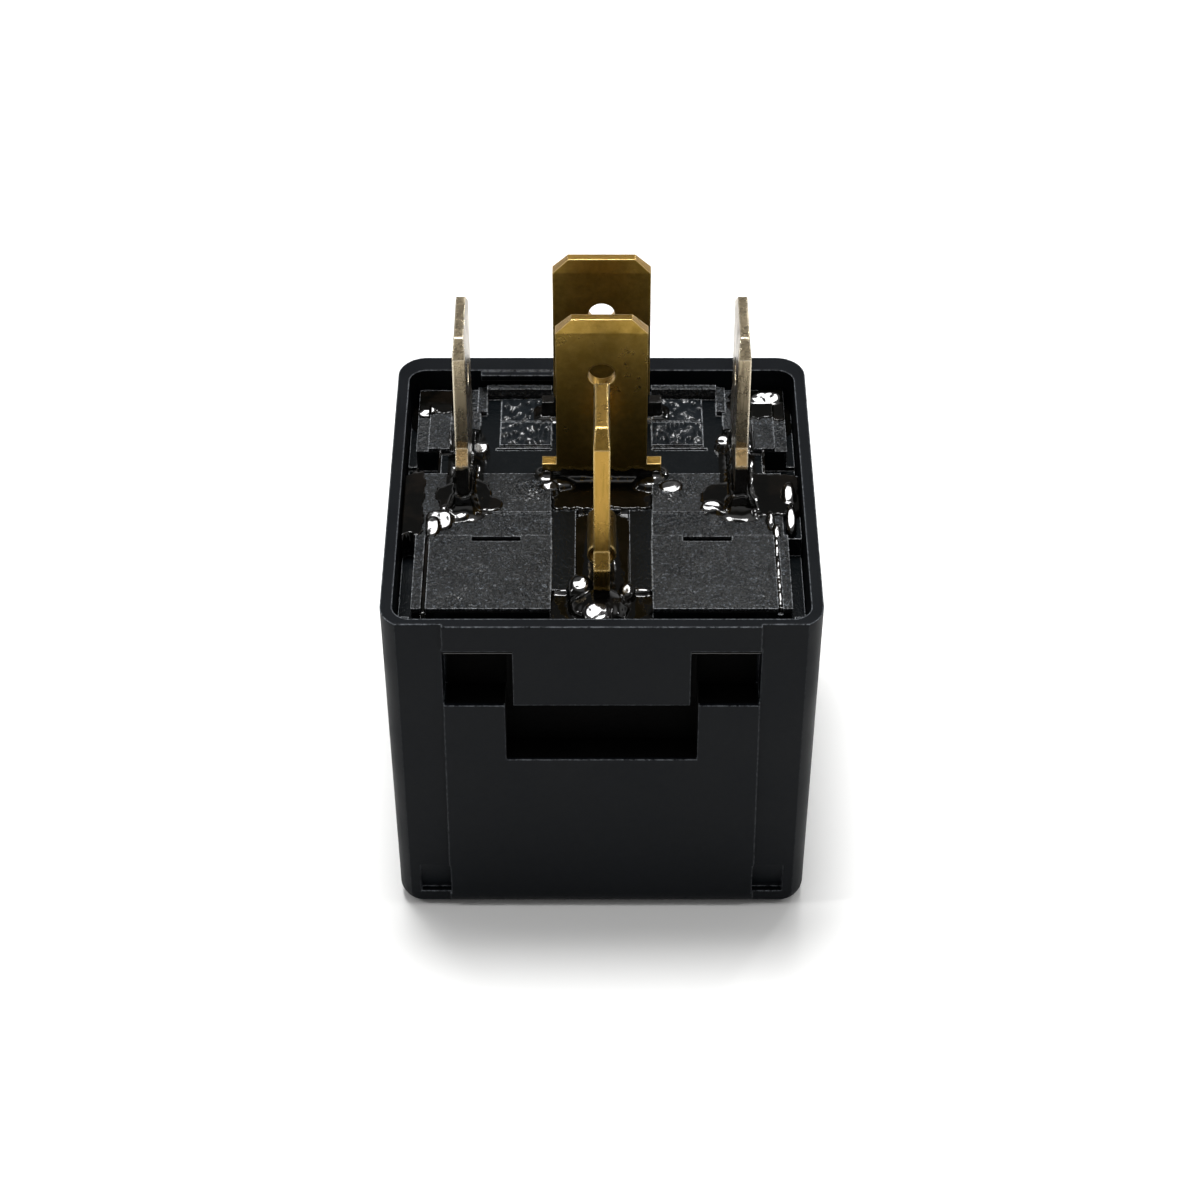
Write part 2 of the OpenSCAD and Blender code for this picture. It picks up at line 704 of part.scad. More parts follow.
// ---------- sealing resin ----------
// Resin that climbs a root: a concave fillet all round it
module meniscus(w, r, z, thick) {
    s = w / 2;
    t = thick / 2;
    translate([0, 0, z]) {
        for (m = [0, 1])
            mirror([0, m, 0]) along_x(-s, s) difference() {
                square([t + r, r]);
                translate([t + r, r]) circle(r);
            }
        for (m = [0, 1])
            mirror([m, 0, 0]) along_y(-t, t) difference() {
                square([s + r, r]);
                translate([s + r, r]) circle(r);
            }
        for (sx = [-1, 1], sy = [-1, 1])
            translate([sx * s, sy * t, 0]) rotate_extrude() difference() {
                square([r, r]);
                translate([r, r]) circle(r);
            }
    }
}

module sealant() {
    w87a = shoulder_w - (blade_w - narrow_w) / 2;
    film = plain_z + 0.15;
    front_y = front_blade_y - trough_front;
    back_y = mid_blade_y - trough_back;
    color(epoxy) difference() {
        union() {
            // Pool in front of blade 30, film in the trough and up to blade 87a
            span([-channel_half, -base_half_d + 0.05, plain_z - pool_depth],
                [channel_half, front_blade_y - pool_y, plain_z + 0.05]);
            span([-trough_half, front_y, plain_z - trough_depth], [trough_half + 0.1, back_y, film - 0.3]);
            span([-channel_half, back_y, plain_z], [channel_half, mid_blade_y - 0.45, film]);
            // Resin in the gaps beside the front pads
            pair([side_wall_in - side_gap - 0.02, pad_front, plain_z],
                [side_wall_in + 0.02, pad_line_y - 0.05, base_top - 0.2]);
            translate([0, mid_blade_y, 0]) meniscus(w87a, 0.85, plain_z, blade_t);
            translate([0, back_blade_y, 0]) meniscus(shoulder_w, 0.7, plain_z, blade_t);
            translate([0, front_blade_y, 0]) rotate([0, 0, 90])
                meniscus(shoulder_w, 1, plain_z - 0.1, heavy_t);
            for (side = [-1, 1])
                translate([side * coil_blade_x, mid_blade_y, 0]) rotate([0, 0, 90])
                    meniscus(shoulder_w, 1.25, plain_z, blade_t);
        }
        base_body();
        root_slots_tight();
    }
}

// The roots themselves, taken out of the resin
module root_slots_tight() {
    translate([0, mid_blade_y, 0]) root_block(shoulder_w - (blade_w - narrow_w) / 2, blade_t);
    translate([0, back_blade_y, 0]) root_block(shoulder_w, blade_t);
    translate([0, front_blade_y, 0]) rotate([0, 0, 90]) root_block(shoulder_w, heavy_t);
    for (side = [-1, 1])
        translate([side * coil_blade_x, mid_blade_y, 0]) rotate([0, 0, 90]) root_block(shoulder_w, blade_t);
}

module root_block(w, thick) {
    span([-w / 2, -thick / 2, plain_z - 1], [w / 2, thick / 2, cover_h + 3]);
}

// ---------- magnet ----------
module bobbin() {
    color([0.82, 0.8, 0.74]) difference() {
        translate([0, coil_y, bobbin_z]) rotate_extrude() {
            translate([core_r + 0.02, 0]) square([tube_t, bobbin_l]);
            translate([core_r + 0.02, 0]) square([flange_r - core_r - 0.02, flange_t]);
            translate([core_r + 0.02, bobbin_l - flange_t]) square([flange_r - core_r - 0.02, flange_t]);
        }
        for (side = [-1, 1])
            translate([side * lead_x, lead_y, bobbin_top - flange_t - 0.5])
                cylinder(r = lead_d / 2 + 0.12, h = flange_t + 1);
    }
}

module coil_winding() {
    inner = core_r + 0.02 + tube_t;
    color(copper) translate([0, coil_y, bobbin_z + flange_t]) rotate_extrude()
        translate([inner, 0]) square([coil_r - inner, bobbin_l - 2 * flange_t]);
}

module coil_wrap() {
    color([0.75, 0.62, 0.28]) translate([0, coil_y, bobbin_z + flange_t]) rotate_extrude()
        translate([coil_r, 0.4]) square([wrap_t, bobbin_l - 2 * flange_t - 0.8]);
}

// Iron core with its pole shoe and the neck that is riveted into the yoke
module core() {
    neck_r = core_r - 0.9;
    color(steel) translate([0, coil_y, 0]) rotate_extrude() {
        translate([0, pole_z]) square([pole_r, pole_t - 0.02]);
        translate([0, pole_z]) square([core_r, bobbin_top - pole_z]);
        translate([0, bobbin_top - 0.01]) square([neck_r, yoke_t + 0.31]);
        translate([0, yoke_top]) square([neck_r + 0.5, 0.3]);
    }
}

// L-shaped yoke, bent from thick steel
module yoke() {
    neck_r = core_r - 0.9;
    color(steel) difference() {
        along_x(-yoke_half, yoke_half) {
            r = yoke_bend_r;
            translate([-yoke_out, pole_z]) square([yoke_t, yoke_top - yoke_t - r - pole_z]);
            translate([yoke_in + r, yoke_top - yoke_t - r]) rotate(90) quarter_ring(r, yoke_t);
            translate([yoke_in + r, yoke_top - yoke_t])
                square([coil_y + core_r + 1.2 - yoke_in - r, yoke_t]);
        }
        translate([0, coil_y, bobbin_top - 1]) cylinder(r = neck_r + 0.02, h = yoke_t + 2);
        for (side = [-1, 1])
            translate([side * yoke_rivet_x, -yoke_out - 1, rivet_z]) rotate([-90, 0, 0])
                cylinder(r = rivet_r + 0.02, h = yoke_t + 2);
    }
}

// ---------- armature and contacts ----------
// Side view of the closed armature, with the heel rounded for the spring
module armature_profile() {
    r = spring_in_r - 0.02;
    end = coil_y + flange_r - 0.3;
    translate([hinge_y + r, hinge_z - arm_t]) square([end - hinge_y - r, arm_t]);
    translate([hinge_y + 0.02, hinge_z - arm_t + spring_in_r]) square([r + 0.1, arm_t - spring_in_r]);
    intersection() {
        translate([hinge_y + spring_in_r, hinge_z - arm_t + spring_in_r]) circle(r);
        translate([hinge_y, hinge_z - arm_t + 0.02]) square([spring_in_r, spring_in_r]);
    }
}

module armature() {
    end = coil_y + flange_r - 0.3;
    color(steel) at_rest() difference() {
        intersection() {
            along_x(-yoke_half, yoke_half) armature_profile();
            translate([0, 0, hinge_z - arm_t - 1]) linear_extrude(arm_t + 2)
                polygon([[-yoke_half, hinge_y - 1], [yoke_half, hinge_y - 1], [yoke_half, coil_y + 1],
                    [arm_end_half, end], [-arm_end_half, end], [-yoke_half, coil_y + 1]]);
        }
        armature_rivet_holes(rivet_r + 0.02);
    }
}

module armature_rivet_holes(r) {
    for (side = [-1, 1])
        translate([side * arm_rivet_x, arm_rivet_y, hinge_z - arm_t - 1]) cylinder(r = r, h = arm_t + 2);
}

// Leaf spring: up the yoke's outer face, round the heel and along under the armature
module spring_profile() {
    r = spring_in_r;
    // Middle of the bend, turned with the armature about the hinge
    cy = hinge_y + r * cos(rest_tilt) - (arm_t - r) * sin(rest_tilt);
    cz = hinge_z - r * sin(rest_tilt) - (arm_t - r) * cos(rest_tilt);
    translate([cy - r - spring_t, cz]) square([spring_t, spring_top - cz]);
    translate([cy, cz]) intersection() {
        difference() {
            circle(r + spring_t);
            circle(r);
        }
        union() {
            translate([-r - spring_t, -r - spring_t]) square(r + spring_t);
            rotate(-rest_tilt) translate([-r - spring_t, -r - spring_t]) square(r + spring_t);
        }
        mirror([0, 1]) translate([-2 * r, 0]) square(2 * r + 1);
        rotate(-rest_tilt) translate([-2 * r, -2 * r]) square([2 * r, 3 * r]);
    }
    translate([cy, cz]) rotate(-rest_tilt) translate([0, -r - spring_t])
        square([contact_y + spring_end_half - hinge_y - r, spring_t]);
}

module contact_spring() {
    y1 = coil_y + flange_r - 0.3;
    color([0.78, 0.55, 0.3]) difference() {
        intersection() {
            along_x(-spring_half, spring_half) spring_profile();
            union() {
                span([-spring_half, -yoke_out - 2, 0], [spring_half, yoke_in, spring_top + 1]);
                translate([0, 0, floor_t]) linear_extrude(hinge_z)
                    polygon([[-spring_half, yoke_in - 0.1], [spring_half, yoke_in - 0.1],
                        [spring_half, coil_y], [spring_end_half, y1],
                        [spring_end_half, contact_y], [-spring_end_half, contact_y],
                            [-spring_end_half, y1], [-spring_half, coil_y]]);
                translate([0, contact_y, floor_t]) cylinder(r = spring_end_half, h = hinge_z);
            }
        }
        at_rest() armature_rivet_holes(rivet_r + 0.02);
        at_rest() translate([0, contact_y, hinge_z - arm_t - 1]) cylinder(r = 0.72, h = 2);
        for (side = [-1, 1])
            translate([side * yoke_rivet_x, -yoke_out - 1, rivet_z]) rotate([-90, 0, 0])
                cylinder(r = rivet_r + 0.02, h = 2);
    }
}

// Two-faced contact riveted through the spring
module moving_contact() {
    color(silver) at_rest() translate([0, contact_y, hinge_z - arm_t]) {
        cylinder(r = contact_r, h = head_h);
        translate([0, 0, -spring_t - 0.01]) cylinder(r = 0.7, h = spring_t + 0.02);
        translate([0, 0, -spring_t - head_h]) cylinder(r = contact_r, h = head_h);
    }
}

module contact_no() {
    color(silver) translate([0, contact_y, no_face_z]) cylinder(r = contact_r, h = button_h);
}

module contact_nc() {
    color(silver) translate([0, contact_y, nc_foot_z + blade_t]) cylinder(r = contact_r, h = button_h);
}

module yoke_rivets() {
    // The spring lies on the yoke with this small gap
    gap = spring_in_r + (arm_t - spring_in_r) * sin(rest_tilt) - spring_in_r * cos(rest_tilt);
    y0 = -yoke_out - gap - spring_t;
    color(steel) for (side = [-1, 1])
        translate([side * yoke_rivet_x, y0, rivet_z]) rotate([-90, 0, 0]) {
            translate([0, 0, -rivet_head_h]) cylinder(r = rivet_head_r, h = rivet_head_h);
            translate([0, 0, -0.01]) cylinder(r = rivet_r, h = gap + spring_t + yoke_t + 0.01);
        }
}

module armature_rivets() {
    color(steel) at_rest() for (side = [-1, 1])
        translate([side * arm_rivet_x, arm_rivet_y, hinge_z - arm_t - spring_t]) {
            translate([0, 0, -rivet_head_h]) cylinder(r = rivet_head_r, h = rivet_head_h);
            cylinder(r = rivet_r, h = arm_t + spring_t);
            translate([0, 0, arm_t + spring_t]) cylinder(r = rivet_r + 0.25, h = 0.2);
        }
}

// Wire from the winding, up through the flange and across to the coil blade's tail
module coil_lead(side) {
    x1 = coil_blade_x - blade_t / 2 - lead_d / 2;
    z1 = bobbin_top + 0.35;
    r = lead_d / 2;
    color(copper) mirror([side < 0 ? 1 : 0, 0, 0]) {
        translate([lead_x, lead_y, bobbin_top - flange_t - 1])
            cylinder(r = r, h = z1 - bobbin_top + flange_t + 1);
        translate([lead_x, lead_y, z1]) sphere(r);
        translate([lead_x, lead_y, z1]) rotate([0, 90, 0]) cylinder(r = r, h = x1 - lead_x);
        translate([x1, lead_y, z1]) sphere(r);
        translate([x1, lead_y, z1 - 0.9]) cylinder(r = r, h = 0.9);
    }
}

module coil_lead_85() {
    coil_lead(1);
}

module coil_lead_86() {
    coil_lead(-1);
}

// Places shared by the pieces above
rivet_z = hinge_z + rivet_up;
spring_top = rivet_z + rivet_head_r + 0.4;
arm_rivet_y = yoke_in + rivet_head_r + 0.1;
lead_r = coil_r + wrap_t + lead_d / 2 + 0.02;
lead_x = lead_r * cos(50);
lead_y = coil_y + lead_r * sin(50);

cover();
base();
sealant();
terminal_30();
terminal_87();
terminal_87a();
terminal_85();
terminal_86();
bobbin();
coil_winding();
coil_wrap();
core();
yoke();
armature();
contact_spring();
moving_contact();
contact_no();
contact_nc();
yoke_rivets();
armature_rivets();
coil_lead_85();
coil_lead_86();
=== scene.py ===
"""Looks of a plug-in automotive relay: materials, sealing resin, studio light and camera.

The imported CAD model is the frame. Every solid of it is kept and gets a procedural material, apart
from the sealing resin, which is replaced by a poured surface with pools and climbed edges.
Lengths are in metres unless a name ends in _mm or a docstring says millimetres.
"""

import logging
import math
from dataclasses import dataclass, field
from enum import Enum
from typing import Iterable, Optional, Sequence

import bmesh
import bpy
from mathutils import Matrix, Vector, noise

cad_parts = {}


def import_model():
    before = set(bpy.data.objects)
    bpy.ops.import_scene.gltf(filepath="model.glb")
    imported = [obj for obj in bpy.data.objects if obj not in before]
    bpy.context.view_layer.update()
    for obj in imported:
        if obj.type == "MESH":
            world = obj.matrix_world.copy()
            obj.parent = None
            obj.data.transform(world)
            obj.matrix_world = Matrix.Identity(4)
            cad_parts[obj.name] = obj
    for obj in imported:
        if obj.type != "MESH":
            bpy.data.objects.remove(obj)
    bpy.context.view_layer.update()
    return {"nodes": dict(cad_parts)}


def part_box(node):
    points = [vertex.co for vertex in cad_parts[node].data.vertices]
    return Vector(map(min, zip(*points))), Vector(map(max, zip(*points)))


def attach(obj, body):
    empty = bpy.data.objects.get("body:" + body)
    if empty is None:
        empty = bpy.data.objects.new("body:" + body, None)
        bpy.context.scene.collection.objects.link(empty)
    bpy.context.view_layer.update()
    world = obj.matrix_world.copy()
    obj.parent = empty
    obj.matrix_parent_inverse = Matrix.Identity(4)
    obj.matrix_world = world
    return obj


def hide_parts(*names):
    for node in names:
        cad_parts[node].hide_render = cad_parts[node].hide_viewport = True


LOG = logging.getLogger("relay")
MM = 0.001
HOUSING = "housing"
# Drop from the cover's rim to the top of the base's raised pads
RIM_DEPTH_MM = 1.25
# Depth that the sealing resin fills, below the top of the raised pads
SEAL_DEPTH_MM = 1.75
# Far enough off the part to stand for no limit at all
FAR_MM = 1000.0

Colour = tuple[float, float, float, float]
Spot = tuple[float, float]
Place = tuple[float, float, float]
Socket = bpy.types.NodeSocket
Tree = bpy.types.NodeTree
Material = bpy.types.Material


class SheetAxis(Enum):
    """Axis that a blade's two rolled faces look along."""

    ACROSS = 0
    ALONG = 1


# ---- small helpers


def linear(hex_code: str) -> Colour:
    """Turn an sRGB hex colour into linear light.

    Args:
        hex_code: Six hex digits, such as "2b2d30".

    Returns:
        Red, green, blue and full opacity, in linear light.
    """
    out = []
    for i in range(0, 6, 2):
        c = int(hex_code[i : i + 2], 16) / 255.0
        out.append(c / 12.92 if c <= 0.04045 else ((c + 0.055) / 1.055) ** 2.4)
    return (out[0], out[1], out[2], 1.0)


def find_socket(sockets: Sequence[Socket], key: Optional[str | int]) -> Socket:
    """Socket by its number, by its name among those in use, or with no key the first in use."""
    in_use = (socket for socket in sockets if socket.enabled and key in (None, socket.name))
    return sockets[key] if isinstance(key, int) else next(in_use)


def add_node(
    tree: Tree,
    kind: str,
    inputs: Optional[dict[str | int, object]] = None,
    output: Optional[str | int] = None,
    **settings: object,
) -> Optional[Socket]:
    """Add one shader node with its settings and links.

    Args:
        tree: Node tree that gets the node.
        kind: Blender's type name of the node, without "ShaderNode".
        inputs: For each input, by name or number, a constant or an output socket to link.
        output: Name or number of the output to give back; the first one in use if it isn't given.
        **settings: Properties of the node by name.

    Returns:
        The chosen output socket, or None where the node has no output.
    """
    node = tree.nodes.new("ShaderNode" + kind)
    for name, value in settings.items():
        setattr(node, name, value)
    for name, value in (inputs or {}).items():
        socket = find_socket(node.inputs, name)
        if isinstance(value, Socket):
            tree.links.new(value, socket)
        else:
            socket.default_value = value
    return find_socket(node.outputs, output) if node.outputs else None


def new_material(name: str) -> tuple[Material, Tree, Socket]:
    """Start a material.

    Args:
        name: Name of the material.

    Returns:
        The material, its empty node tree, and the piece's own coordinates in millimetres.
    """
    material = bpy.data.materials.new(name)
    material.use_nodes = True
    tree = material.node_tree
    tree.nodes.clear()
    place = add_node(tree, "TexCoord", output="Object")
    return material, tree, add_node(tree, "VectorMath", {0: place, "Scale": 1.0 / MM}, operation="SCALE")


def box_mask(tree: Tree, place: Socket, low: Place, high: Place) -> Socket:
    """Mark the inside of a box.

    Args:
        tree: Node tree that gets the nodes.
        place: Coordinates in millimetres.
        low: The box's lowest corner, in millimetres.
        high: The box's highest corner, in millimetres.

    Returns:
        A mask that is 1 in the box and 0 outside it.
    """
    mask = 1.0
    for axis, start, end in zip("XYZ", low, high):
        along = add_node(tree, "SeparateXYZ", {"Vector": place}, axis)
        middle, half = (start + end) / 2.0, (end - start) / 2.0
        inside = add_node(tree, "Math", {0: along, 1: middle, 2: half}, operation="COMPARE")
        mask = add_node(tree, "Math", {0: mask, 1: inside}, operation="MULTIPLY")
    return mask


def sharp_edges(tree: Tree, radius_mm: float) -> tuple[Socket, Socket]:
    """Find the sharp edges of a piece and round them to the eye.

    Args:
        tree: Node tree that gets the nodes.
        radius_mm: Radius of the rounded edge in millimetres.

    Returns:
        The rounded normal, and a mask that is 1 on an edge and 0 away from it.
    """
    soft = add_node(tree, "Bevel", {"Radius": radius_mm * MM}, samples=6)
    flat = add_node(tree, "NewGeometry", output="True Normal")
    match = add_node(tree, "VectorMath", {0: soft, 1: flat}, "Value", operation="DOT_PRODUCT")
    return soft, add_node(tree, "MapRange", {"Value": match, "From Min": 0.985, "From Max": 0.85})


def close_material(material: Material, **inputs: object) -> Material:
    """Close a material with a principled shader.

    Args:
        material: Material to close.
        **inputs: Inputs of the shader, with underscores for spaces.

    Returns:
        The same material.
    """
    named = {name.replace("_", " "): value for name, value in inputs.items()}
    shader = add_node(material.node_tree, "BsdfPrincipled", named)
    add_node(material.node_tree, "OutputMaterial", {"Surface": shader})
    return material


# ---- finishes
# Pattern sizes carry four digits, because a rounder size would shift the pattern along the piece


@dataclass(frozen=True)
class MouldedPlastic:
    """Moulded nylon or film: dry, with a fine grain, wide clouds, and glossier edges that carry a painted
    pale highlight.

    A real mould's grain is too fine to show. It is drawn as coarse as it needs to be seen.
    """

    name: str
    colour: str
    cloud: str
    edge_highlight: str
    roughness: float = 0.5
    specular: float = 0.5
    rub_roughness: float = 0.26
    grain_mm: float = 0.16
    grain_depth_mm: float = 0.006
    cloud_mm: float = 4.545
    nick_mm: float = 0.2778
    edge_mm: float = 0.1
    # Lowest and highest corner of a pocket whose walls get painted shade, in millimetres
    shaded_pocket: Optional[tuple[Place, Place]] = None
    pocket_shade_colour: str = "010101"
    pocket_roughness: float = 0.95

    def build(self) -> Material:
        """Make the material.

        Returns:
            The material.
        """
        material, tree, mm = new_material(self.name)
        grain = add_node(
            tree,
            "TexNoise",
            {"Vector": mm, "Scale": 1.0 / self.grain_mm, "Detail": 3.0, "Roughness": 0.6},
        )
        cloud = add_node(tree, "TexNoise", {"Vector": mm, "Scale": 1.0 / self.cloud_mm, "Detail": 3.0})
        nick = add_node(
            tree, "TexNoise", {"Vector": mm, "Scale": 1.0 / self.nick_mm, "Detail": 4.0, "Roughness": 0.7}
        )
        soft, edge = sharp_edges(tree, self.edge_mm)
        # The pale line along an edge is a painted highlight on an edge that is also glossier: it comes and
        # goes, and is stronger where the edge looks up to the light
        broken = add_node(tree, "MapRange", {"Value": nick, "From Min": 0.36, "From Max": 0.6})
        rub_and_highlight = add_node(tree, "Math", {0: edge, 1: broken}, operation="MULTIPLY")
        rise = add_node(tree, "SeparateXYZ", {"Vector": soft}, "Z")
        lit = add_node(tree, "MapRange", {"Value": rise, "From Max": 0.45, "To Min": 0.22, "To Max": 1.0})
        rub_and_highlight = add_node(tree, "Math", {0: rub_and_highlight, 1: lit}, operation="MULTIPLY")
        share = add_node(
            tree,
            "MapRange",
            {"Value": cloud, "From Min": 0.38, "From Max": 0.72, "To Max": 0.6},
        )
        under, over = linear(self.colour), linear(self.cloud)
        colour = add_node(tree, "Mix", {"Factor": share, "A": under, "B": over}, data_type="RGBA")
        # Painted highlight: the edges are mixed towards a pale colour
        colour = add_node(
            tree,
            "Mix",
            {"Factor": rub_and_highlight, "A": colour, "B": linear(self.edge_highlight)},
            data_type="RGBA",
        )
        low, high = self.roughness - 0.06, self.roughness + 0.06
        rough = add_node(
            tree,
            "MapRange",
            {"Value": cloud, "From Min": 0.3, "From Max": 0.7, "To Min": low, "To Max": high},
        )
        rough = add_node(tree, "Mix", {"Factor": rub_and_highlight, "A": rough, "B": self.rub_roughness})
        if self.shaded_pocket:
            # Painted shade: the pocket's walls get a near-black colour and a rough finish, for the shade
            # that falls inside it
            pocket_shade = box_mask(tree, mm, *self.shaded_pocket)
            # The near-black colour of the painted shade
            skin = linear(self.pocket_shade_colour)
            colour = add_node(tree, "Mix", {"Factor": pocket_shade, "A": colour, "B": skin}, data_type="RGBA")
            rough = add_node(tree, "Mix", {"Factor": pocket_shade, "A": rough, "B": self.pocket_roughness})
        normal = add_node(
            tree,
            "Bump",
            {"Height": grain, "Distance": self.grain_depth_mm * MM, "Normal": soft},
        )
        return close_material(
            material,
            Base_Color=colour,
            Roughness=rough,
            Specular_IOR_Level=self.specular,
            IOR=1.5,
            Normal=normal,
        )


@dataclass(frozen=True)
class SparkTexturedPlastic:
    """Nylon from a spark-eroded mould: glossy orange peel that sparkles on the raised pads, plainer below,
    and a painted pale highlight along its edges.

    Real spark craters are too fine to show. They are drawn as coarse as they need to be seen.
    """

    name: str
    colour: str
    dust: str
    edge_highlight: str
    pad_top_mm: float
    peel_mm: float = 0.2273
    peel_depth_mm: float = 0.085
    swell_mm: float = 2.632
    swell_depth_mm: float = 0.5
    dust_mm: float = 0.1538
    lump_mm: float = 0.4545
    lump_depth_mm: float = 0.7
    edge_mm: float = 0.11
    pad_roughness: tuple[float, float] = (0.3, 0.5)
    middle_roughness: float = 0.48
    plain_roughness: float = 0.2
    block_roughness: float = 0.25
    rub_roughness: float = 0.2
    # Corners of the right one of the two low blocks beside the back blade, and of the middle pads
    block: tuple[Place, Place] = ((3.2, 6.1, 0.0), (6.7, 11.1, FAR_MM))
    middle: tuple[Place, Place] = ((-FAR_MM, -1.2, 0.0), (FAR_MM, 2.8, FAR_MM))
    # The right one of the two swellings on the middle pads
    foot: Place = (4.3, 1.5, 0.0)
    foot_reach_mm: float = 2.1
    foot_depth_mm: float = 0.6

    def build(self) -> Material:
        """Make the material.

        Returns:
            The material.
        """
        material, tree, mm = new_material(self.name)
        side = add_node(tree, "SeparateXYZ", {"Vector": mm}, "X")
        side = add_node(tree, "Math", {0: side}, operation="ABSOLUTE")
        along = add_node(tree, "SeparateXYZ", {"Vector": mm}, "Y")
        height = add_node(tree, "SeparateXYZ", {"Vector": mm}, "Z")
        mirrored = add_node(tree, "CombineXYZ", {"X": side, "Y": along, "Z": height})
        flat = add_node(tree, "CombineXYZ", {"X": side, "Y": along})
        # Raised pads carry the spark texture, the sunk faces are smoother
        top = self.pad_top_mm
        pad = add_node(tree, "MapRange", {"Value": height, "From Min": top - 0.35, "From Max": top - 0.2})
        block = box_mask(tree, mirrored, *self.block)
        middle = box_mask(tree, mm, *self.middle)
        middle = add_node(tree, "Math", {0: middle, 1: pad}, operation="MULTIPLY")
        foot = add_node(tree, "VectorMath", {0: flat, 1: self.foot}, "Value", operation="DISTANCE")
        foot = add_node(
            tree,
            "MapRange",
            {"Value": foot, "From Min": self.foot_reach_mm, "From Max": 0.0},
            interpolation_type="SMOOTHSTEP",
        )
        foot = add_node(tree, "Math", {0: foot, 1: pad}, operation="MULTIPLY")
        peel = add_node(
            tree, "TexNoise", {"Vector": mm, "Scale": 1.0 / self.peel_mm, "Detail": 2.5, "Roughness": 0.6}
        )
        dust = add_node(
            tree,
            "TexNoise",
            {"Vector": mm, "Scale": 1.0 / self.dust_mm, "Detail": 4.0, "Roughness": 0.75},
        )
        swell = add_node(
            tree,
            "TexNoise",
            {"Vector": mm, "Scale": 1.0 / self.swell_mm, "Detail": 3.0, "Roughness": 0.55},
        )
        drawn_out = add_node(tree, "VectorMath", {0: mm, 1: (1.0, 0.6, 1.0)}, operation="MULTIPLY")
        lumps = add_node(
            tree,
            "TexVoronoi",
            {"Vector": drawn_out, "Scale": 1.0 / self.lump_mm},
            "Distance",
            feature="SMOOTH_F1",
        )
        soft, edge = sharp_edges(tree, self.edge_mm)
        # Painted highlight: a pale, broken line along the edges, which are also glossier
        broken = add_node(tree, "MapRange", {"Value": dust, "From Min": 0.4, "From Max": 0.54})
        rub_and_highlight = add_node(tree, "Math", {0: edge, 1: broken}, operation="MULTIPLY")
        # Pale specks lie on the upper faces of the pads, and a thin veil of dust on the rough blocks
        specks = add_node(tree, "MapRange", {"Value": dust, "From Min": 0.57, "From Max": 0.68})
        specks = add_node(tree, "Math", {0: specks, 1: pad}, operation="MULTIPLY")
        specks = add_node(tree, "Math", {0: block, 1: 0.06, 2: specks}, operation="MULTIPLY_ADD")
        under, over = linear(self.colour), linear(self.dust)
        colour = add_node(tree, "Mix", {"Factor": specks, "A": under, "B": over}, data_type="RGBA")
        # The painted edge highlight is mixed in here
        colour = add_node(
            tree,
            "Mix",
            {"Factor": rub_and_highlight, "A": colour, "B": linear(self.edge_highlight)},
            data_type="RGBA",
        )
        # The pads are glossier in some places than in others, and the middle ones hold a wide sheen
        low, high = self.pad_roughness
        patchy = add_node(
            tree,
            "MapRange",
            {"Value": swell, "From Min": 0.38, "From Max": 0.62, "To Min": low, "To Max": high},
        )
        rough = add_node(tree, "Mix", {"Factor": pad, "A": self.plain_roughness, "B": patchy})
        glosses = (
            (middle, self.middle_roughness),
            (foot, self.rub_roughness),
            (rub_and_highlight, self.rub_roughness),
            (block, self.block_roughness),
        )
        for mask, gloss in glosses:
            rough = add_node(tree, "Mix", {"Factor": mask, "A": rough, "B": gloss})
        # Swell, orange peel, the swellings at the middle blade and the lumps on the blocks, one on another
        depth = add_node(tree, "MapRange", {"Value": pad, "To Min": 0.09, "To Max": 1.0})
        crisp = add_node(tree, "MapRange", {"Value": peel, "From Min": 0.38, "From Max": 0.62})
        crisp = add_node(tree, "Math", {0: crisp, 1: depth}, operation="MULTIPLY")
        swell = add_node(tree, "Math", {0: swell, 1: depth}, operation="MULTIPLY")
        lumps = add_node(tree, "Math", {0: lumps, 1: block}, operation="MULTIPLY")
        reliefs = (
            (swell, self.swell_depth_mm),
            (crisp, self.peel_depth_mm),
            (foot, self.foot_depth_mm),
            (lumps, self.lump_depth_mm),
        )
        normal = soft
        for relief, reach_mm in reliefs:
            normal = add_node(tree, "Bump", {"Height": relief, "Distance": reach_mm * MM, "Normal": normal})
        return close_material(
            material, Base_Color=colour, Roughness=rough, Specular_IOR_Level=0.5, IOR=1.5, Normal=normal
        )


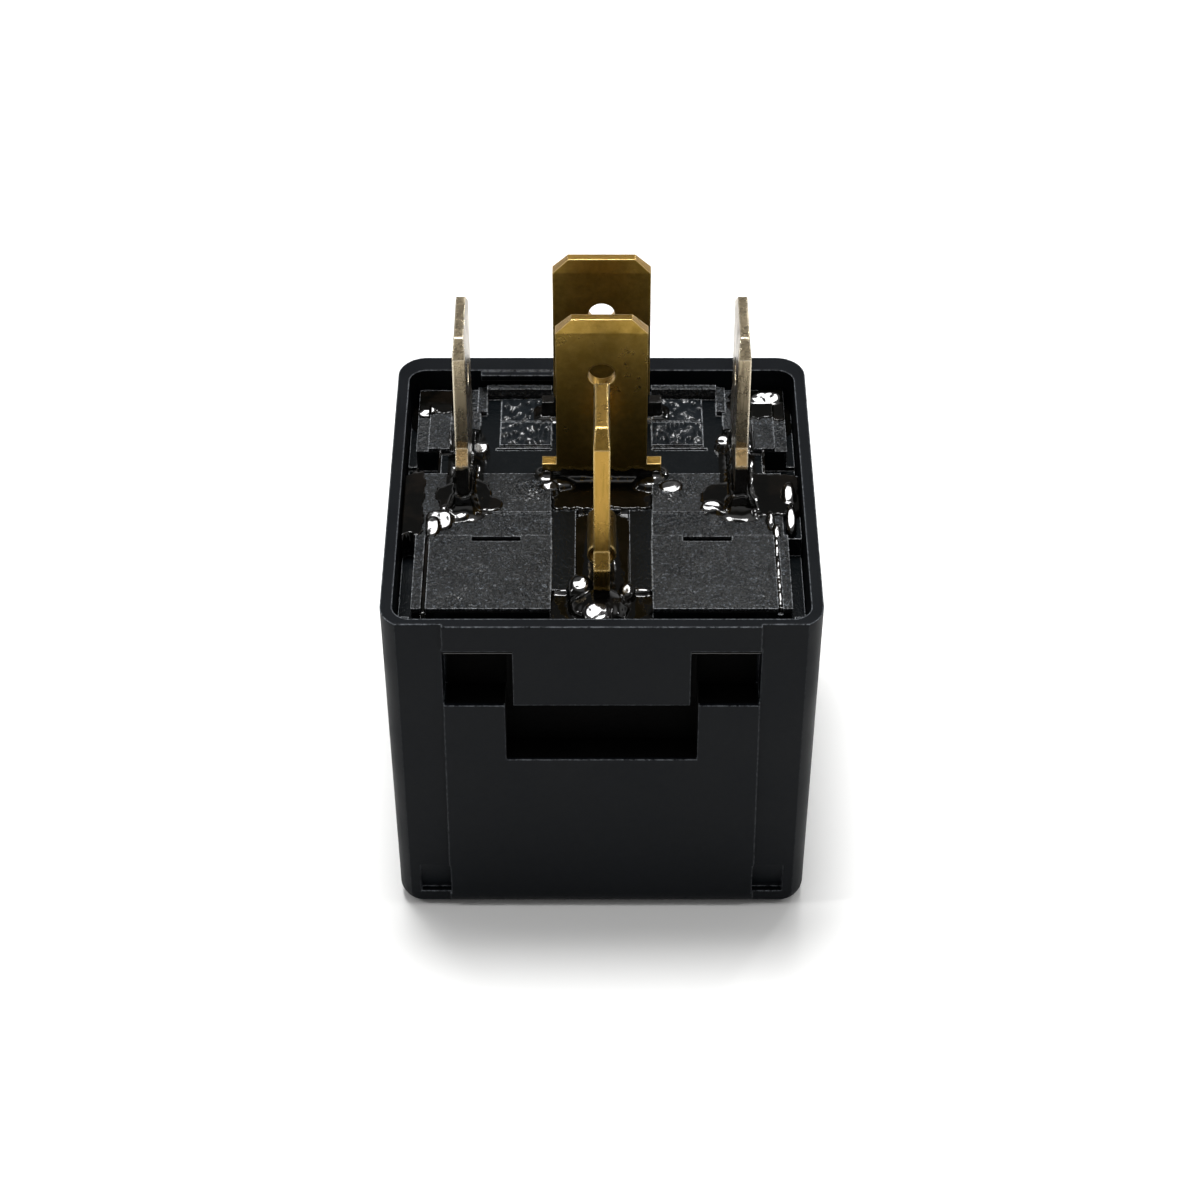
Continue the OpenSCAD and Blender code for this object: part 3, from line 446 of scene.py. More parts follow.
@dataclass(frozen=True)
class StampedMetal:
    """Sheet metal cut by a die: dull tarnished rolled faces, bright torn cut faces with a painted highlight
    along their corners, feet wetted by resin.

    Heights are above the floor. A piece without resin or rubbed plating keeps the defaults.
    """

    name: str
    rolled: str
    tarnish: str
    cut: str
    corner_highlight: str
    axis: SheetAxis
    roughness: float = 0.27
    # Top of the resin on the rolled faces, how much higher it goes on the cut edges, and its underside
    wet_top_mm: float = -FAR_MM
    wet_edge_mm: float = 0.0
    wet_low_mm: float = 0.0
    # Middle of the band where the plating is rubbed off the cut edges
    bare_mm: float = -FAR_MM
    border_mm: float = 0.12
    patina_mm: float = 1.818
    grain_mm: float = 0.09091
    grain_depth_mm: float = 0.01
    # Width, length and depth of the lines that the die tore in the cut edges
    tear_mm: float = 0.2222
    tear_long_mm: float = 2.469
    tear_depth_mm: float = 0.03

    def build(self) -> Material:
        """Make the material.

        Returns:
            The material.
        """
        material, tree, mm = new_material(self.name)
        per_mm = (1.0 / self.tear_mm, 1.0 / self.tear_mm, 1.0 / self.tear_long_mm)
        drawn = add_node(tree, "VectorMath", {0: mm, 1: per_mm}, operation="MULTIPLY")
        torn = add_node(tree, "TexNoise", {"Vector": drawn, "Scale": 1.0, "Detail": 4.0, "Roughness": 0.7})
        patina = add_node(
            tree,
            "TexNoise",
            {"Vector": mm, "Scale": 1.0 / self.patina_mm, "Detail": 6.0, "Roughness": 0.68},
        )
        grain = add_node(
            tree,
            "TexNoise",
            {"Vector": mm, "Scale": 1.0 / self.grain_mm, "Detail": 3.0, "Roughness": 0.6},
        )
        facing = add_node(tree, "TexCoord", output="Normal")
        facing = add_node(tree, "SeparateXYZ", {"Vector": facing}, self.axis.value)
        facing = add_node(tree, "Math", {0: facing}, operation="ABSOLUTE")
        sheet = add_node(tree, "MapRange", {"Value": facing, "From Min": 0.6, "From Max": 0.85})
        sides = add_node(tree, "MapRange", {"Value": sheet, "To Min": 1.0, "To Max": 0.0})
        soft, edge = sharp_edges(tree, self.border_mm)
        # Tarnish lies in clouds on the rolled faces and in scars on the cut ones
        share = add_node(tree, "MapRange", {"Value": patina, "From Min": 0.3, "From Max": 0.62})
        under, over = linear(self.rolled), linear(self.tarnish)
        rolled = add_node(tree, "Mix", {"Factor": share, "A": under, "B": over}, data_type="RGBA")
        scar = add_node(tree, "MapRange", {"Value": torn, "From Min": 0.5, "From Max": 0.66, "To Max": 0.7})
        under, over = linear(self.cut), linear(self.tarnish)
        cut = add_node(tree, "Mix", {"Factor": scar, "A": under, "B": over}, data_type="RGBA")
        colour = add_node(tree, "Mix", {"Factor": sheet, "A": cut, "B": rolled}, data_type="RGBA")
        # The plating is rubbed through to bare brass on the shoulder, between uneven limits
        height = add_node(tree, "SeparateXYZ", {"Vector": mm}, "Z")
        ragged = add_node(tree, "Math", {0: patina, 1: 1.6, 2: height}, operation="MULTIPLY_ADD")
        bare = add_node(tree, "Math", {0: ragged, 1: self.bare_mm + 0.8, 2: 0.6}, operation="COMPARE")
        bare = add_node(tree, "Math", {0: bare, 1: sides}, operation="MULTIPLY")
        colour = add_node(
            tree, "Mix", {"Factor": bare, "A": colour, "B": linear("edc88e")}, data_type="RGBA"
        )
        # Painted highlight along the corners of the sheet
        colour = add_node(
            tree, "Mix", {"Factor": edge, "A": colour, "B": linear(self.corner_highlight)}, data_type="RGBA"
        )
        low, high = self.roughness - 0.06, self.roughness + 0.08
        rough = add_node(
            tree,
            "MapRange",
            {"Value": patina, "From Min": 0.3, "From Max": 0.7, "To Min": low, "To Max": high},
        )
        normal = add_node(
            tree,
            "Bump",
            {"Height": grain, "Distance": self.grain_depth_mm * MM, "Normal": soft},
        )
        ridge = add_node(tree, "Math", {0: torn, 1: sides}, operation="MULTIPLY")
        normal = add_node(
            tree,
            "Bump",
            {"Height": ridge, "Distance": self.tear_depth_mm * MM, "Normal": normal},
        )
        # Resin that ran up the foot, with a ragged upper limit; what stands below the base is dry
        lift = add_node(tree, "MapRange", {"Value": sheet, "To Min": -self.wet_edge_mm, "To Max": 0.0})
        ragged = add_node(tree, "Math", {0: ragged, 1: lift}, operation="ADD")
        high, low = self.wet_top_mm + 0.95, self.wet_top_mm + 0.65
        wet = add_node(tree, "MapRange", {"Value": ragged, "From Min": high, "From Max": low})
        potted = add_node(tree, "Math", {0: height, 1: self.wet_low_mm}, operation="GREATER_THAN")
        wet = add_node(tree, "Math", {0: wet, 1: potted}, operation="MULTIPLY")
        colour = add_node(
            tree, "Mix", {"Factor": wet, "A": colour, "B": linear("0c0906")}, data_type="RGBA"
        )
        rough = add_node(tree, "Mix", {"Factor": wet, "A": rough, "B": 0.1})
        metal = add_node(tree, "Math", {0: 1.0, 1: wet}, operation="SUBTRACT")
        return close_material(material, Base_Color=colour, Metallic=metal, Roughness=rough, Normal=normal)


@dataclass(frozen=True)
class PottingResin:
    """Cured sealing resin: brown-black and wet-looking, browner where it is thin, with a slow swell."""

    name: str
    colour: str
    thin: str
    cloud_mm: float = 2.222
    swell_mm: float = 1.111
    swell_depth_mm: float = 0.04

    def build(self) -> Material:
        """Make the material.

        Returns:
            The material.
        """
        material, tree, mm = new_material(self.name)
        swell = add_node(tree, "TexNoise", {"Vector": mm, "Scale": 1.0 / self.swell_mm, "Detail": 2.0})
        cloud = add_node(
            tree,
            "TexNoise",
            {"Vector": mm, "Scale": 1.0 / self.cloud_mm, "Detail": 4.0, "Roughness": 0.6},
        )
        share = add_node(tree, "MapRange", {"Value": cloud, "From Min": 0.5, "From Max": 0.68})
        under, over = linear(self.colour), linear(self.thin)
        colour = add_node(tree, "Mix", {"Factor": share, "A": under, "B": over}, data_type="RGBA")
        rough = add_node(
            tree,
            "MapRange",
            {"Value": cloud, "From Min": 0.35, "From Max": 0.75, "To Min": 0.06, "To Max": 0.14},
        )
        normal = add_node(tree, "Bump", {"Height": swell, "Distance": self.swell_depth_mm * MM})
        return close_material(
            material, Base_Color=colour, Roughness=rough, IOR=1.55, Specular_IOR_Level=0.5, Normal=normal
        )


@dataclass(frozen=True)
class WoundWire:
    """Enamelled wire laid in close turns: fine rings of copper under a clear lacquer.

    Real turns are too fine to show. They are drawn as coarse as they need to be seen.
    """

    name: str
    colour: str
    groove: str
    pitch_mm: float = 0.16

    def build(self) -> Material:
        """Make the material.

        Returns:
            The material.
        """
        material, tree, mm = new_material(self.name)
        # A wave texture of scale 1 repeats every pi / 10
        turns = add_node(
            tree,
            "TexWave",
            {"Vector": mm, "Scale": math.pi / 10.0 / self.pitch_mm, "Distortion": 0.15, "Detail": 1.0},
            "Fac",
            wave_type="BANDS",
            bands_direction="Z",
        )
        under, over = linear(self.groove), linear(self.colour)
        colour = add_node(tree, "Mix", {"Factor": turns, "A": under, "B": over}, data_type="RGBA")
        normal = add_node(tree, "Bump", {"Height": turns, "Distance": 0.5 * self.pitch_mm * MM})
        return close_material(
            material, Base_Color=colour, Metallic=1.0, Roughness=0.32, Coat_Weight=0.5, Normal=normal
        )


@dataclass(frozen=True)
class PlatedSteel:
    """Zinc-plated soft iron: pale grey, slightly clouded, with rolled-over edges."""

    name: str
    colour: str
    cloud: str
    roughness: float = 0.34
    cloud_mm: float = 1.299
    grain_mm: float = 0.1205
    grain_depth_mm: float = 0.005
    edge_mm: float = 0.12

    def build(self) -> Material:
        """Make the material.

        Returns:
            The material.
        """
        material, tree, mm = new_material(self.name)
        patch = add_node(
            tree,
            "TexNoise",
            {"Vector": mm, "Scale": 1.0 / self.cloud_mm, "Detail": 5.0, "Roughness": 0.65},
        )
        grain = add_node(
            tree,
            "TexNoise",
            {"Vector": mm, "Scale": 1.0 / self.grain_mm, "Detail": 3.0, "Roughness": 0.6},
        )
        soft, _ = sharp_edges(tree, self.edge_mm)
        share = add_node(tree, "MapRange", {"Value": patch, "From Min": 0.35, "From Max": 0.7})
        under, over = linear(self.colour), linear(self.cloud)
        colour = add_node(tree, "Mix", {"Factor": share, "A": under, "B": over}, data_type="RGBA")
        low, high = self.roughness - 0.08, self.roughness + 0.1
        rough = add_node(
            tree,
            "MapRange",
            {"Value": patch, "From Min": 0.3, "From Max": 0.7, "To Min": low, "To Max": high},
        )
        normal = add_node(
            tree,
            "Bump",
            {"Height": grain, "Distance": self.grain_depth_mm * MM, "Normal": soft},
        )
        return close_material(material, Base_Color=colour, Metallic=1.0, Roughness=rough, Normal=normal)


@dataclass(frozen=True)
class PaperSweep:
    """Seamless white paper under the object: matt, with a faint fibre."""

    name: str
    colour: str
    fibre: str
    fibre_mm: float = 0.8

    def build(self) -> Material:
        """Make the material.

        Returns:
            The material.
        """
        material, tree, mm = new_material(self.name)
        felt = add_node(tree, "TexNoise", {"Vector": mm, "Scale": 1.0 / self.fibre_mm, "Detail": 3.0})
        share = add_node(
            tree,
            "MapRange",
            {"Value": felt, "From Min": 0.3, "From Max": 0.7, "To Max": 0.05},
        )
        under, over = linear(self.colour), linear(self.fibre)
        colour = add_node(tree, "Mix", {"Factor": share, "A": under, "B": over}, data_type="RGBA")
        return close_material(material, Base_Color=colour, Roughness=0.9, Specular_IOR_Level=0.1)


# ---- sub-assemblies


@dataclass
class Dresser:
    """Gives CAD nodes their materials."""

    nodes: dict[str, bpy.types.Object]

    def wear(self, material: Material, names: Iterable[str]) -> None:
        """Put one material on several nodes.

        Args:
            material: Material to use.
            names: Names of the CAD nodes.
        """
        for name in names:
            obj = self.nodes[name]
            if not obj.material_slots:
                obj.data.materials.append(material)
            for slot in obj.material_slots:
                slot.material = material
            LOG.info("%s wears %s", name, material.name)


@dataclass
class HousingLook:
    """The moulded cover and the moulded base."""

    dresser: Dresser
    base_top_mm: float
    # Half width of the bracket pocket, its lowest and highest wall, a depth that reaches well past its
    # floor, and the skin at the front that stays outside it
    pocket_half_mm: float = 9.6
    pocket_low_mm: float = 13.6
    pocket_high_mm: float = 23.0
    pocket_deep_mm: float = 6.0
    skin_mm: float = 0.35

    def build(self) -> None:
        """Dress both mouldings."""
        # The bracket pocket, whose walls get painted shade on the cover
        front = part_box("cover")[0][1] / MM + self.skin_mm
        shaded_pocket = (
            (-self.pocket_half_mm, front, self.pocket_low_mm),
            (self.pocket_half_mm, front + self.pocket_deep_mm, self.pocket_high_mm),
        )
        # Glass-filled nylon from a matt mould: nearly black, barely shiny, with glossier edges that carry a
        # painted pale highlight, and painted shade in the bracket pocket
        cover = MouldedPlastic(
            "moulded_nylon_black", "070a0e", "0d1014", "8c9197", 0.5, 0.085, edge_mm=0.15, shaded_pocket=shaded_pocket
        )
        # Nylon from a spark-eroded mould: black with a leathery sparkle, dusty specks and a painted pale
        # highlight along the edges
        base = SparkTexturedPlastic("spark_textured_nylon", "060a0d", "6c737b", "c0c4c9", self.base_top_mm)
        self.dresser.wear(cover.build(), ["cover"])
        self.dresser.wear(base.build(), ["base"])


@dataclass
class BladeLook:
    """The five stamped blades."""

    dresser: Dresser
    base_top_mm: float
    # Height above the pads that the resin reaches on each kind of blade
    middle_wet_mm: float = 0.5
    back_wet_mm: float = 1.6
    heavy_wet_mm: float = 1.2
    tinned_wet_mm: float = 1.6
    tinned_edge_wet_mm: float = 2.0
    # Height above the pads of the rubbed shoulders of the tinned blades
    bare_mm: float = 4.2

    def build(self) -> None:
        """Dress the brass and the tinned blades."""
        top = self.base_top_mm
        low = top - SEAL_DEPTH_MM
        # Rolled brass: olive-gold with a brown patina, yellow where the die cut it, and a painted highlight
        # along its corners
        brass = ("b8974c", "8a7030", "a5823f", "fbdc98")
        across, along = SheetAxis.ACROSS, SheetAxis.ALONG
        wet = top + self.middle_wet_mm
        middle = StampedMetal("stamped_brass", *brass, along, 0.31, wet, wet_low_mm=low)
        wet = top + self.back_wet_mm
        back = StampedMetal("stamped_back_brass", *brass, along, 0.38, wet, wet_low_mm=low)
        heavy = StampedMetal(
            "stamped_heavy_brass",
            *brass,
            across,
            0.28,
            wet_top_mm=top + self.heavy_wet_mm,
            wet_low_mm=low,
            border_mm=0.22,
        )
        # Tin-plated brass: warm grey with dark clouds, and a painted near-white highlight along its edges
        tin = ("b3a58a", "6a5c48", "beae90", "fff4dc")
        tinned = StampedMetal(
            "tinned_brass",
            *tin,
            across,
            0.26,
            wet_top_mm=top + self.tinned_wet_mm,
            wet_edge_mm=self.tinned_edge_wet_mm,
            wet_low_mm=low,
            bare_mm=top + self.bare_mm,
            border_mm=0.2,
        )
        self.dresser.wear(middle.build(), ["terminal_87a"])
        self.dresser.wear(back.build(), ["terminal_87"])
        self.dresser.wear(heavy.build(), ["terminal_30"])
        self.dresser.wear(tinned.build(), ["terminal_85", "terminal_86"])


@dataclass
class MechanismLook:
    """The magnet, the armature and the contacts inside."""

    dresser: Dresser

    def build(self) -> None:
        """Dress the pieces inside."""
        # Undyed nylon: milky, with a soft gloss and a painted pale highlight on its edges
        natural = MouldedPlastic("natural_nylon", "cfc9b6", "dad5c6", "e4e0d2", 0.42, grain_depth_mm=0.003)
        # Polyester film wound on with its glue: amber and glossy, with a painted pale highlight on its
        # edges
        film = MouldedPlastic("polyester_film", "b8923a", "c7a450", "d2b468", 0.26, grain_depth_mm=0.002)
        # Copper wire in clear enamel: red-brown rings with a hard gloss
        wire = WoundWire("enamelled_copper_wire", "b4622f", "5a2a14")
        # Zinc on soft iron: pale grey and cloudy
        iron = PlatedSteel("zinc_plated_iron", "a9abad", "8d9094")
        # The same on headed rivets: brighter, because the heads are pressed smooth
        rivet = PlatedSteel("plated_rivet_steel", "b4b5b6", "97999c", 0.28)
        # Rolled spring bronze: pinkish and smooth, with a painted highlight along its corners
        bronze = StampedMetal(
            "rolled_spring_bronze", "b98252", "9a6a40", "d3a074", "e2b48c", SheetAxis.ALONG, 0.24
        )
        # Silver alloy: the whitest and smoothest of the metals
        silver = PlatedSteel("silver_contact_alloy", "dcdcd8", "c2c2bd", 0.22)
        self.dresser.wear(natural.build(), ["bobbin"])
        self.dresser.wear(film.build(), ["coil_wrap"])
        self.dresser.wear(wire.build(), ["coil_winding", "coil_lead_85", "coil_lead_86"])
        self.dresser.wear(iron.build(), ["core", "yoke", "armature"])
        self.dresser.wear(rivet.build(), ["yoke_rivets", "armature_rivets"])
        self.dresser.wear(bronze.build(), ["contact_spring"])
        self.dresser.wear(silver.build(), ["moving_contact", "contact_no", "contact_nc"])


# Lean of a pool in x and y: level, or tipped to the front as it set
LEVEL = (0.0, 0.0)
TIPPED = (0.05, 0.336)


@dataclass(frozen=True)
class Root:
    """One blade's root, seen from above, with the resin that climbs it, in millimetres."""

    spot: Spot
    half_x: float
    half_y: float
    climb: float
    # Climb at the front end of the root, how fast the resin falls away with distance, and the length
    # behind that end over which the climb builds up
    front_climb: float
    spread: float
    front_reach: float = 1.4
    # The climbed resin thins out to this much below nothing, so that it ends in a clean line
    skin: float = 0.05

    def height(self, x: float, y: float) -> float:
        """Height of the climbed resin above the face that it stands on.

        Args:
            x: Place, left to right.
            y: Place, front to back.

        Returns:
            The height, which falls away quickly with distance from the root.
        """
        dx = max(abs(x - self.spot[0]) - self.half_x, 0.0)
        dy = max(abs(y - self.spot[1]) - self.half_y, 0.0)
        near = math.hypot(dx, dy)
        if near > 5.0 * self.spread:
            return -1.0
        start = self.spot[1] - self.half_y + self.front_reach
        front = min(max((start - y) / self.front_reach, 0.0), 1.0)
        climb = self.climb + (self.front_climb - self.climb) * front
        return climb * math.exp(-near / self.spread) - self.skin


@dataclass(frozen=True)
class Pool:
    """One pool, run or film of resin with a rounded rim, seen from above, in millimetres."""

    # What it lies by, and its own place from there
    near: Spot
    x: float
    y: float
    half_x: float
    half_y: float
    # Height at its middle, above the raised pads, or above what it lies on where it is draped
    level: float
    rim: float = 0.25
    # Power of its outline: 2 is an ellipse, a high one is square-cornered
    power: float = 2.3
    lean: tuple[float, float] = LEVEL
    draped: bool = False

    def lumpiness(self) -> float:
        """Height of the ripple on it: square-cornered films lie calm, leaning pools are lumpier."""
        return 0.005 if self.power > 3.5 else 0.018 + 0.05 * self.lean[1]

    def height(self, x: float, y: float, wobble: float) -> Optional[float]:
        """Height of the pool at one place.

        Args:
            x: Place, left to right.
            y: Place, front to back.
            wobble: Slow noise from -1 to 1 that makes the outline uneven by a fifth.

        Returns:
            The height, or None outside the pool.
        """
        dx, dy = x - self.near[0] - self.x, y - self.near[1] - self.y
        if abs(dx) > 1.2 * self.half_x or abs(dy) > 1.2 * self.half_y:
            return None
        across, along = abs(dx) / self.half_x, abs(dy) / self.half_y
        out = (across**self.power + along**self.power) ** (1.0 / self.power)
        inside = (1.0 - out * (1.0 + 0.2 * wobble)) * min(self.half_x, self.half_y)
        if inside <= 0.0:
            return None
        short = max(self.rim - inside, 0.0)
        drop = self.rim - math.sqrt(self.rim * self.rim - short * short)
        lean_x, lean_y = self.lean
        sag = 0.12 * lean_y * dy * dy / self.half_y
        return self.level + lean_x * dx + lean_y * dy - sag - drop


@dataclass
class ResinLook:
    """The poured resin: films in the recesses, pools, smears, and collars that climb each root."""

    material: Material
    nodes: dict[str, bpy.types.Object]
    base_top_mm: float
    # Grid that the surface is drawn on, which ends just inside the base's edge
    step_mm: float = 0.08
    half_mm: float = 12.64
    # How far two layers flow together, how thin a layer may be, and the lowest surface
    blend_mm: float = 0.1
    thin_mm: float = 0.04
    lowest_mm: float = -1.6
    # Waves per millimetre of the slow wobble and of the fine ripple
    wobble_per_mm: float = 0.9
    ripple_per_mm: float = 2.2
    # Half the width of a blade's shoulder, half its thickness, and half the middle blade's width
    shoulder_half_mm: float = 3.95
    blade_half_mm: float = 0.4
    heavy_half_mm: float = 0.5
    middle_half_mm: float = 3.7
    pools: list[Pool] = field(init=False)
    roots: list[Root] = field(init=False)

    def __post_init__(self) -> None:
        """Lay out the roots and the pools."""
        self.roots = self.lay_roots()
        self.pools = self.lay_pools()

    def blade_spot(self, node: str) -> Spot:
        """Find where a blade stands, from the ends of its tip.

        Args:
            node: Name of the blade's CAD node.

        Returns:
            The middle of the blade seen from above, in millimetres.
        """
        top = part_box(node)[1][2]
        tip = [vert.co / MM for vert in self.nodes[node].data.vertices if vert.co.z > top - 1.0 * MM]
        ends = [(min(co[axis] for co in tip), max(co[axis] for co in tip)) for axis in (0, 1)]
        x, y = (round((low + high) / 2.0, 3) for low, high in ends)
        return (x, y)

    def lay_roots(self) -> list[Root]:
        """Lay out the five roots.

        Returns:
            The roots.
        """
        wide, thin = self.shoulder_half_mm, self.blade_half_mm
        return [
            Root(self.blade_spot("terminal_30"), self.heavy_half_mm, wide, 0.35, 0.9, 0.3),
            Root(self.blade_spot("terminal_87a"), self.middle_half_mm, thin, 0.55, 0.55, 0.28),
            Root(self.blade_spot("terminal_87"), wide, thin, 0.45, 0.45, 0.25),
            Root(self.blade_spot("terminal_85"), thin, wide, 0.7, 1.9, 0.3),
            Root(self.blade_spot("terminal_86"), thin, wide, 0.7, 1.9, 0.3),
        ]

    def lay_pools(self) -> list[Pool]:
        """Lay out the pools, films and smears.

        Returns:
            The pools, in the order that they flow together.
        """
        front, middle, _, right, left = (root.spot for root in self.roots)
        centre = (0.0, 0.0)
        return [
            # Middle channel: front pool, trough, and the film up to blade 87a
            Pool(front, 0.0, -4.4, 3.3, 2.3, -0.66, 0.1, 14.0),
            Pool(front, 0.05, 1.45, 1.72, 4.2, -0.8, 0.06, 20.0),
            Pool(middle, 0.0, -1.6, 3.3, 1.75, -0.36, 0.14, 12.0),
            Pool(front, -2.2, -2.3, 0.95, 0.2, -0.46, 0.16, 3.0, TIPPED),
            Pool(front, 2.3, -2.3, 0.85, 0.22, -0.42, 0.16, 3.0, TIPPED),
            # Mound in front of blade 30 with its side lobes and the drop at the rim
            Pool(front, -0.15, -3.8, 1.9, 1.7, 0.3, 1.4, 2.2),
            Pool(front, -1.35, -2.6, 0.8, 0.85, 0.46, 0.45, 2.2, (0.05, 0.28)),
            Pool(front, 1.55, -2.7, 0.5, 0.65, 0.0, 0.3, 2.2, TIPPED),
            Pool(front, -0.3, -4.9, 0.9, 0.8, 0.14, 0.3, 2.2, TIPPED),
            # Blade 86: puddle, thick smear to the left, film beside the rim
            Pool(left, 0.05, -2.75, 1.85, 1.75, 0.13),
            Pool(left, 1.7, -3.35, 0.9, 0.8, 0.1),
            Pool(left, -0.7, -3.95, 0.9, 0.4, 0.2, 0.15, 2.2, TIPPED),
            Pool(left, -0.75, -0.3, 0.35, 0.6, 0.3, 0.2, 2.2, TIPPED),
            Pool(left, -0.6, -4.55, 0.95, 0.36, 0.14, 0.1, 2.3, TIPPED),
            Pool(left, -1.5, -5.1, 0.85, 0.75, 0.24, 0.14, 2.3, TIPPED),
            Pool(left, -1.9, -5.9, 0.45, 0.85, 0.27, 0.12, 2.3, TIPPED),
            Pool(left, -3.25, -3.2, 0.75, 3.2, 0.06, 0.1, 6.0),
            # Blade 85: puddle to the left, film to the rim, bright ridge and thin run
            Pool(right, -0.7, -2.9, 1.95, 1.6, 0.14),
            Pool(right, -1.8, -3.75, 0.75, 0.55, 0.18, 0.18, 2.2, TIPPED),
            Pool(right, -0.2, -4.1, 0.9, 0.28, 0.12, 0.14, 2.2, TIPPED),
            Pool(right, 2.1, -2.4, 1.9, 2.1, 0.05, 0.1, 5.0),
            Pool(right, 3.15, -2.6, 0.42, 0.9, 0.36, 0.2, 2.4, TIPPED),
            Pool(right, 3.2, -5.1, 0.35, 1.1, 0.34, 0.18, 2.4, TIPPED),
            Pool(right, 1.9, -5.15, 0.28, 0.7, 0.26, 0.14, 2.2, TIPPED),
            Pool(right, 2.25, -6.3, 0.26, 0.7, 0.14, 0.14, 2.2, TIPPED),
            # Gaps beside the front pads, with a row of beads in the right one
            Pool(centre, 11.0, -6.9, 0.2, 3.6, -0.12, 0.1, 10.0),
            Pool(centre, -11.0, -6.9, 0.2, 3.6, -0.25, 0.1, 10.0),
            *(self.bead(centre, 11.0, -4.3, step) for step in range(8)),
            # Lumps at the two ends of blade 87a's root, and thin films on the middle pads
            Pool(middle, -2.75, -1.05, 1.1, 0.6, -0.02, 0.45, 2.2, (0.0, 0.2)),
            Pool(middle, 3.05, -0.95, 1.0, 0.75, 0.06, 0.5, 2.2, (0.0, 0.1)),
            Pool(middle, -3.4, -1.65, 0.6, 0.5, 0.14, 0.2, 2.2, TIPPED),
            Pool(middle, 4.5, -1.7, 0.8, 0.6, 0.12, 0.2, 2.2, (0.05, 0.28)),
            # Films draped over the back corners, with a drop on each, and drops behind 86 and 85
            Pool(centre, 10.6, 10.2, 2.1, 1.7, 0.08, 0.08, 4.0, (0.02, 0.0), True),
            Pool(centre, -10.9, 10.4, 1.8, 1.4, 0.07, 0.07, 4.0, LEVEL, True),
            Pool(centre, 10.9, 10.7, 1.2, 0.6, 0.3, 0.2, 2.3, TIPPED, True),
            Pool(centre, -11.6, 9.2, 0.7, 0.4, 0.2, 0.15, 2.3, TIPPED, True),
            Pool(left, 0.9, 2.2, 0.6, 0.6, 0.2, 0.2, 2.3, TIPPED),
            Pool(right, -0.9, 3.0, 0.45, 0.5, 0.15, 0.2, 2.3, TIPPED),
        ]

    def bead(self, near: Spot, x: float, y: float, step: int) -> Pool:
        """One bead of the uneven row in a narrow gap.

        Args:
            near: What the row lies by, in millimetres.
            x: Place of the row from there, left to right, in millimetres.
            y: Place of its first bead from there, in millimetres.
            step: Number of the bead, counted to the front.

        Returns:
            The bead, of a size and spacing that change along the row.
        """
        place = y - 0.7 * step + 0.2 * math.sin(2.4 * step)
        return Pool(near, x, place, 0.17, 0.42 + 0.16 * math.cos(1.7 * step), 0.04, 0.1, 2.4, TIPPED)

    def floor(self, x: float, y: float) -> float:
        """Height of the base under one place, against the raised pads.

        Args:
            x: Place, left to right, in millimetres.
            y: Place, front to back, in millimetres.

        Returns:
            The height in millimetres.
        """
        start = Vector((x * MM, y * MM, (self.base_top_mm + 3.0) * MM))
        hit, place, _, _ = self.nodes["base"].ray_cast(start, Vector((0.0, 0.0, -1.0)))
        return place.z / MM - self.base_top_mm if hit else -3.0

    def surface(self, x: float, y: float, floor: float) -> float:
        """Height of the resin at one place, against the raised pads.

        Args:
            x: Place, left to right, in millimetres.
            y: Place, front to back, in millimetres.
            floor: Height of the base there, in millimetres.

        Returns:
            The height in millimetres; below the base where the place is dry.
        """
        wobble = noise.noise(Vector((x * self.wobble_per_mm, y * self.wobble_per_mm, 3.0)))
        ripple = noise.noise(Vector((x * self.ripple_per_mm, y * self.ripple_per_mm, 8.0)))
        layers = []
        for pool in self.pools:
            level = pool.height(x, y, wobble + 0.5 * ripple)
            if level is not None:
                lump = pool.lumpiness() * ripple
                layers.append(level + 0.02 * wobble + lump + (floor if pool.draped else 0.0))
        for root in self.roots:
            climbed = root.height(x, y)
            if climbed > -0.2:
                layers.append(max(floor, -0.6) + climbed * (1.0 + 0.2 * ripple))
        height = -3.0
        for layer in layers:
            near = max(self.blend_mm - abs(height - layer), 0.0) / self.blend_mm
            height = max(height, layer) + near * near * self.blend_mm * 0.25
        return height

    def build(self) -> bpy.types.Object:
        """Pour the resin.

        Returns:
            The resin's object.
        """
        bm = bmesh.new()
        count = int(2 * self.half_mm / self.step_mm)
        bmesh.ops.create_grid(bm, x_segments=count, y_segments=count, size=self.half_mm * MM)
        dry = set()
        for vert in bm.verts:
            x, y = vert.co.x / MM, vert.co.y / MM
            floor = self.floor(x, y)
            height = self.surface(x, y, floor)
            if height < floor - self.thin_mm:
                dry.add(vert)
            vert.co.z = (self.base_top_mm + max(height, self.lowest_mm)) * MM
        bare = [face for face in bm.faces if all(vert in dry for vert in face.verts)]
        bmesh.ops.delete(bm, geom=bare, context="FACES")
        bmesh.ops.delete(bm, geom=[vert for vert in bm.verts if not vert.link_faces], context="VERTS")
        extruded = bmesh.ops.extrude_face_region(bm, geom=list(bm.faces), use_keep_orig=True)
        for vert in [item for item in extruded["geom"] if isinstance(item, bmesh.types.BMVert)]:
            vert.co.z = (self.base_top_mm - SEAL_DEPTH_MM) * MM
        bmesh.ops.recalc_face_normals(bm, faces=bm.faces)
        for face in bm.faces:
            face.smooth = True
        mesh = bpy.data.meshes.new("sealing_resin")
        bm.to_mesh(mesh)
        bm.free()
        obj = bpy.data.objects.new("sealing_resin", mesh)
        bpy.context.scene.collection.objects.link(obj)
        obj.data.materials.append(self.material)
        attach(obj, HOUSING)
        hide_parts("sealant")
        LOG.info("sealing_resin has %d faces", len(mesh.polygons))
        return obj


# ---- studio


